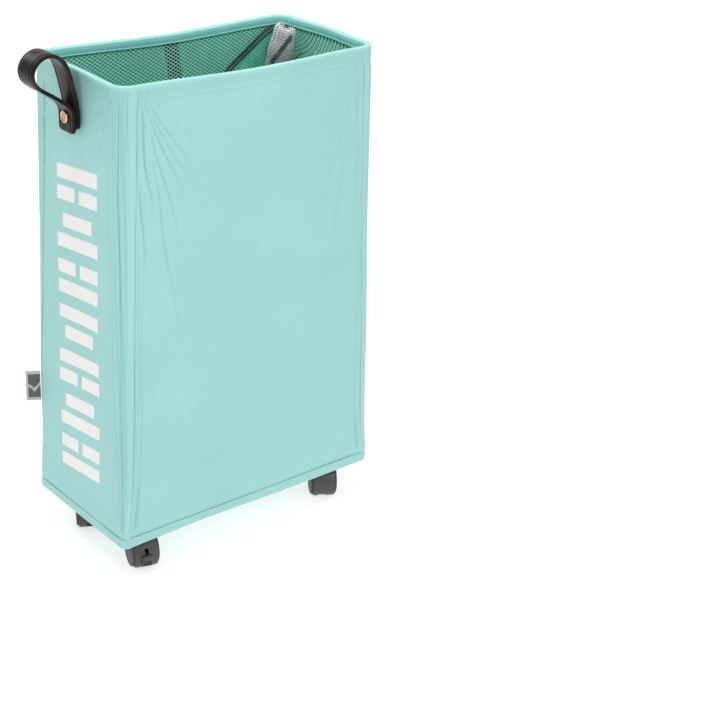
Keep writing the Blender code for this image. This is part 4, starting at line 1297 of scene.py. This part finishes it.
# The strap's middle line from the wall leg round the loop to the flap: x from the bag's middle, z
HANDLE_ROUTE = [(-170.4, 500.5), (-170.4, 520.0), (-173.2, 537.0), (-179.5, 562.0)]
HANDLE_ROUTE += [(-185.8, 573.5), (-194.8, 579.5), (-204.8, 580.0), (-214.3, 574.5)]
HANDLE_ROUTE += [(-219.5, 565.0), (-217.9, 555.5), (-211.3, 548.0), (-199.8, 540.5)]
HANDLE_ROUTE += [(-188.8, 533.0), (-180.6, 526.5), (-176.1, 519.0), (-175.6, 508.5)]
HANDLE_ROUTE += [(-175.6, 496.5)]
HANDLE_HALF = 14.5 * MM
HANDLE_THICKNESS = 4.2 * MM
HANDLE_ROUNDING = 5.5 * MM
HANDLE_GROOVE = 0.73  # share of the half-width
END_POINTS = 12  # of the line at each end, where the strap is rounded


def handle_profile():
    """Half-width and half-thickness shares round the strap: grooved faces, rolled edges."""
    half = (0.3, 0.55, 0.66, 0.695, 0.73, 0.765, 0.80, 0.86, 0.93)
    face = []
    for w in [-w for w in half[::-1]] + [0.0, *half]:
        groove = 0.24 * float(bell(abs(w) - HANDLE_GROOVE, 0.032))
        crown = 0.06 * (1 - w * w)
        face.append((w, 0.96 + crown - groove - (0.05 if abs(w) > 0.9 else 0)))
    edge = [(0.975, 0.72), (0.995, 0.42), (0.975, 0.12), (0.965, 0.0)]
    edge += [(0.975, -0.12), (0.995, -0.42), (0.975, -0.72)]
    return face + edge + [(-w, -h) for w, h in face + edge]


def refine_end(line):
    """More points near the first one, where the strap's end is rounded."""
    return sample(line, np.arange(len(line)), np.linspace(0, 1, 30) ** 1.6 * (len(line) - 1))


def make_handle():
    """Leather pull loop: a leg on the wall, the loop, and the riveted outer flap."""
    line = smooth_line([(x * MM + BAG_X, 0, z * MM) for x, z in HANDLE_ROUTE], 10)
    line = np.concatenate([refine_end(line[:END_POINTS]), line[END_POINTS:-END_POINTS],
                           refine_end(line[-END_POINTS:][::-1])[::-1]])
    travelled = lengths_along(line)
    ahead = unit(np.gradient(line, travelled, axis=0))
    out = np.stack([-ahead[:, 2], 0 * ahead[:, 0], ahead[:, 0]], -1)
    profile = handle_profile()
    points = []
    for i, point in enumerate(line):
        to_end = min(travelled[i], travelled[-1] - travelled[i])
        short = max(0.0, HANDLE_ROUNDING - to_end)
        half = HANDLE_HALF - HANDLE_ROUNDING + math.sqrt(max(0.0, HANDLE_ROUNDING ** 2 - short ** 2))
        thick = HANDLE_THICKNESS / 2 * min(1.0, 0.72 + 0.28 * to_end / (1.2 * MM))
        points += [point + np.array([0, w * half, 0]) + out[i] * (-h * thick) for w, h in profile]
    faces = tube_faces(len(line), len(profile))
    # Faces just outside each groove take the pale painted-highlight leather
    kinds = []
    for face in faces:
        across = [abs(profile[k % len(profile)][0]) for k in face]
        kinds.append(1 if len(face) == 4 and 0.74 < min(across) and max(across) < 0.81 else 0)
    strap = make_solid("handle_leather", points, faces, [LEATHER_MAT, GROOVE_HIGHLIGHT_MAT],
                       sharp=60, kinds=kinds)
    low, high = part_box("handle_rivet")
    middle = (low + high) / 2
    drill(strap, (high.x - 6 * MM, middle.y, middle.z), 2.3 * MM, 40 * MM, (0, math.pi / 2, 0))
    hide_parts("handle_strap")


def lathe_piece(name, profile, sides, materials, matrix, body, kinds=None, sharp=40):
    """Turn (radius, height) in mm about Z, then place; radius 0 closes on the axis."""
    points, rows = [], []
    for radius, z in profile:
        turns = [0.0] if radius == 0 else [math.tau * i / sides for i in range(sides)]
        rows.append([len(points) + i for i in range(len(turns))])
        for a in turns:
            spot = Vector((radius * MM * math.cos(a), radius * MM * math.sin(a), z * MM))
            points.append(matrix @ spot)
    pairs = list(zip(rows, rows[1:]))
    if len(rows[0]) > 1:
        pairs.append((rows[-1], rows[0]))
    faces, face_kinds = [], []
    for k, (first, second) in enumerate(pairs):
        for i in range(sides):
            j = (i + 1) % sides
            corners = [first[i % len(first)], first[j % len(first)]]
            corners += [second[j % len(second)], second[i % len(second)]]
            faces.append(list(dict.fromkeys(corners)))
            face_kinds.append(kinds[k] if kinds else 0)
    return make_solid(name, points, faces, materials, body, sharp, face_kinds)


def make_rivet():
    """Capped rivet: a raised copper rim round a darker domed centre, and its post."""
    low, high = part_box("handle_rivet")
    middle = (low + high) / 2
    turn = Matrix.Translation((low.x, middle.y, middle.z)) @ Matrix.Rotation(math.pi / 2, 4, "Y")
    head = (high.z - low.z) / 2 / MM
    length = (high.x - low.x) / MM
    post, back = 2.0, 1.8
    profile = [(0, 0.55), (1.6, 0.58), (3.2, 0.72), (4.25, 0.98), (4.55, 0.72), (4.75, 0.30), (5.1, 0.06)]
    profile += [(5.5, 0.05), (5.95, 0.32), (head - 0.08, 0.8), (head, 1.3), (head - 0.1, back)]
    profile += [(post, back), (post, length - 0.5), (post - 0.4, length), (0, length)]
    kinds = [1, 1, 1, 1] + [0] * (len(profile) - 5)
    rivet = lathe_piece("copper_rivet", profile, 48, [COPPER_MAT, COPPER_DARK_MAT], turn,
                        "hamper", kinds, 50)
    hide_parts("handle_rivet")


# ---------------------------------------------------------------- casters

TRAIL = 15 * MM
WHEEL_RADIUS = 19 * MM
WHEEL_SPACING = 5.8 * MM
HOOD_INNER = 19.9 * MM
HOOD_OUTER = 21.2 * MM
HOOD_HALF = 13.4 * MM
WEB_HALF = 5.3 * MM
SLOT_HALF = 2.3 * MM
joints = {joint["name"]: joint for joint in frame["joints"]}


def caster_matrix(name):
    """Caster frame: X along the axle, the wheel behind the stem at -Y, Z up."""
    swivel = joints[f"swivel_{name}"]["pos_m"]
    axle = joints[f"roll_{name}_a"]["pos_m"]
    back = Vector((swivel[0] - axle[0], swivel[1] - axle[1], 0)).normalized()
    yaw = math.atan2(-back.x, back.y)
    return Matrix.Translation((swivel[0], swivel[1], 0)) @ Matrix.Rotation(yaw, 4, "Z")


def round_axle(radius, degrees):
    """(y, z) round the axle; 0 degrees is straight back, 90 straight up."""
    angle = math.radians(degrees)
    return -TRAIL - radius * math.cos(angle), WHEEL_RADIUS + radius * math.sin(angle)


def arc_round_axle(radius, start, end, steps):
    return [round_axle(radius, d) for d in np.linspace(start, end, steps + 1)]


def prism_piece(name, outline, ends, matrix, body, bevel):
    """Extrude a (y, z) outline along the axle between two x values, with rounded edges."""
    points = [matrix @ Vector((x, y, z)) for x in ends for y, z in outline]
    count = len(outline)
    faces = []
    for i in range(count):
        j = (i + 1) % count
        faces.append([i, j, j + count, i + count])
    faces += [list(range(count))[::-1], list(range(count, 2 * count))]
    piece = make_solid(name, points, faces, [HOOD_MAT], body, 35)
    add_bevel(piece, bevel)
    return piece


def make_hood(name, matrix, body):
    """Curved fender over both wheels, slotted for the lever where there is one."""
    degrees = list(np.linspace(-52, 118, 69))
    across = [-HOOD_HALF, -11 * MM, -7 * MM, -SLOT_HALF, SLOT_HALF, 7 * MM, 11 * MM, HOOD_HALF]
    notch = 0 if name in BRAKED else 8
    points = []
    for d in degrees:
        y, z = round_axle((HOOD_INNER + HOOD_OUTER) / 2, d)
        short = 1 - min(1.0, (d - degrees[0]) / 11)
        narrow = 1 - 0.3 * (1 - math.sqrt(1 - short ** 2))
        points += [matrix @ Vector((x * narrow if abs(x) > 8 * MM else x, y, z)) for x in across]
    faces = []
    strips = len(across) - 1
    for k, face in enumerate(strip_faces(len(degrees), len(across))):
        i, j = divmod(k, strips)
        in_slot = j == 3 and -39 < degrees[i] < 26 and name in BRAKED
        in_notch = j in (2, 3) and degrees[i] < degrees[0] + notch
        if not in_slot and not in_notch:
            faces.append(face)
    hood = make_solid(f"caster_hood_{name}", points, faces, [HOOD_MAT], body, 40)
    add_solidify(hood, HOOD_OUTER - HOOD_INNER)
    add_bevel(hood, 0.4 * MM, 3)
    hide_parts(f"caster_housing_{name}")


def make_web(name, matrix, body):
    """Middle web that carries axle and stem: one block, or two cheeks beside a lever."""
    nose = [(4.5, 39.3), (6, 37.8), (6.2, 28), (5.9, 16), (3, 10), (-1.5, 6.2), (-6, 4), (-15, 2.8)]
    outline = arc_round_axle(20.3 * MM, -50 if name in BRAKED else -41, 78, 30)
    outline += [(y * MM, z * MM) for y, z in nose]
    spans = {"": (-WEB_HALF, WEB_HALF)}
    if name in BRAKED:
        spans = {"_a": (-WEB_HALF, -SLOT_HALF), "_b": (SLOT_HALF, WEB_HALF)}
    for ending, span in spans.items():
        prism_piece(f"caster_web_{name}{ending}", outline, span, matrix, body, 0.3 * MM)
    boss = [(0, 37.3), (6.6, 37.3), (7.5, 38.2), (7.5, 40.8), (7.1, 41.3), (0, 41.3)]
    lathe_piece(f"caster_boss_{name}", boss, 40, [HOOD_MAT], matrix, body)


def make_wheel(name, letter, matrix):
    """Twin wheel: flat outer disc with a shallow ring and hub, softly crowned tread."""
    side = -1 if letter == "a" else 1
    place = matrix @ Matrix.Translation((side * WHEEL_SPACING, -TRAIL, WHEEL_RADIUS))
    place = place @ Matrix.Rotation(side * math.pi / 2, 4, "Y")
    rim, width = WHEEL_RADIUS / MM, 10.0
    profile = [(0, 8.0), (2.2, 8.0), (2.2, 0.0), (9.0, 0.0), (9.6, 0.35), (15.5, 0.35), (16.2, 0.0)]
    profile += [(17.6, 0.0), (rim - 0.45, 0.35), (rim - 0.05, 1.2), (rim, 3.0), (rim, 7.0)]
    profile += [(rim - 0.05, 8.3), (rim - 0.35, 9.2), (rim - 1.0, 9.75), (17.0, width), (15.6, width)]
    profile += [(15.2, 9.75), (14.7, 9.7), (14.2, 9.75), (5.4, 9.8), (5.1, 9.95), (4.8, width)]
    profile += [(1.2, width), (0, width)]
    tread = range(7, 13)
    kinds = [1 if k in tread else 0 for k in range(len(profile) - 1)]
    wheel = lathe_piece(f"wheel_{name}_{letter}", profile, 72, [WHEEL_MAT, TREAD_MAT], place,
                        f"wheel_{name}_{letter}", kinds, 28)
    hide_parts(f"caster_wheel_{name}_{letter}")


# The toe pad's outer face from toe to heel: degrees round the axle and radius in mm
PAD_TOP = [(-31, 22.9), (-29.5, 24.0), (-27, 24.4), (-4, 24.6), (1, 25.0), (5, 24.9), (7, 23.8)]


def make_lever(name, matrix, body):
    """Brake rocker: a neck through the hood's slot and a ribbed, stepped toe pad."""
    neck = arc_round_axle(22.2 * MM, -28, 2, 12) + arc_round_axle(4.6 * MM, 30, 286, 30)
    lever = prism_piece(f"brake_neck_{name}", neck, (-1.9 * MM, 1.9 * MM), matrix, body, 0.2 * MM)
    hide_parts(f"brake_lever_{name}")
    pad = [round_axle(radius * MM, degrees) for degrees, radius in PAD_TOP]
    pad += arc_round_axle(21.7 * MM, 7, -31, 10)
    prism_piece(f"brake_pad_{name}", pad, (-5.8 * MM, 5.8 * MM), matrix, body, 0.35 * MM)
    for i, degrees in enumerate((-24, -19.5, -15, -10.5)):
        rib = arc_round_axle(24.3 * MM, degrees - 0.9, degrees + 0.9, 2)
        rib += arc_round_axle(24.8 * MM, degrees + 0.5, degrees - 0.5, 2)
        prism_piece(f"brake_rib_{name}_{i}", rib, (-4.4 * MM, 4.4 * MM), matrix, body, 0.08 * MM)


def make_casters():
    for name in CASTERS:
        matrix = caster_matrix(name)
        body = f"caster_{name}"
        make_hood(name, matrix, body)
        make_web(name, matrix, body)
        for letter in "ab":
            make_wheel(name, letter, matrix)
        if name in BRAKED:
            make_lever(name, matrix, f"brake_{name}")


# ---------------------------------------------------------------- CAD nodes that stay

def finish_cad_nodes():
    """Give the frame's own hard pieces their detailed materials."""
    looks = {"base_board": BOARD_MAT, "rim_hoop": STEEL_MAT, "hoop_ferrule": STEEL_MAT}
    looks["rivet_washer"] = STEEL_MAT
    for name in CORNERS:
        looks.update({f"{kind}_{name}": HOOD_MAT for kind in ("rod_socket", "rod_cap")})
        steel = ("support_rod", "caster_stem", "caster_nut", "caster_axle")
        looks.update({f"{kind}_{name}": STEEL_MAT for kind in steel})
    for node, mat in looks.items():
        mesh = frame["nodes"][node].data
        mesh.materials.clear()
        mesh.materials.append(mat)


make_bag()
make_base_cover()
make_seams()
make_print()
make_net_liner()
make_cover_net()
make_casing()
make_wall_strap()
make_bunch()
make_side_tag()
make_floor_pad()
make_rod_sleeves()
make_handle()
make_rivet()
make_casters()
finish_cad_nodes()

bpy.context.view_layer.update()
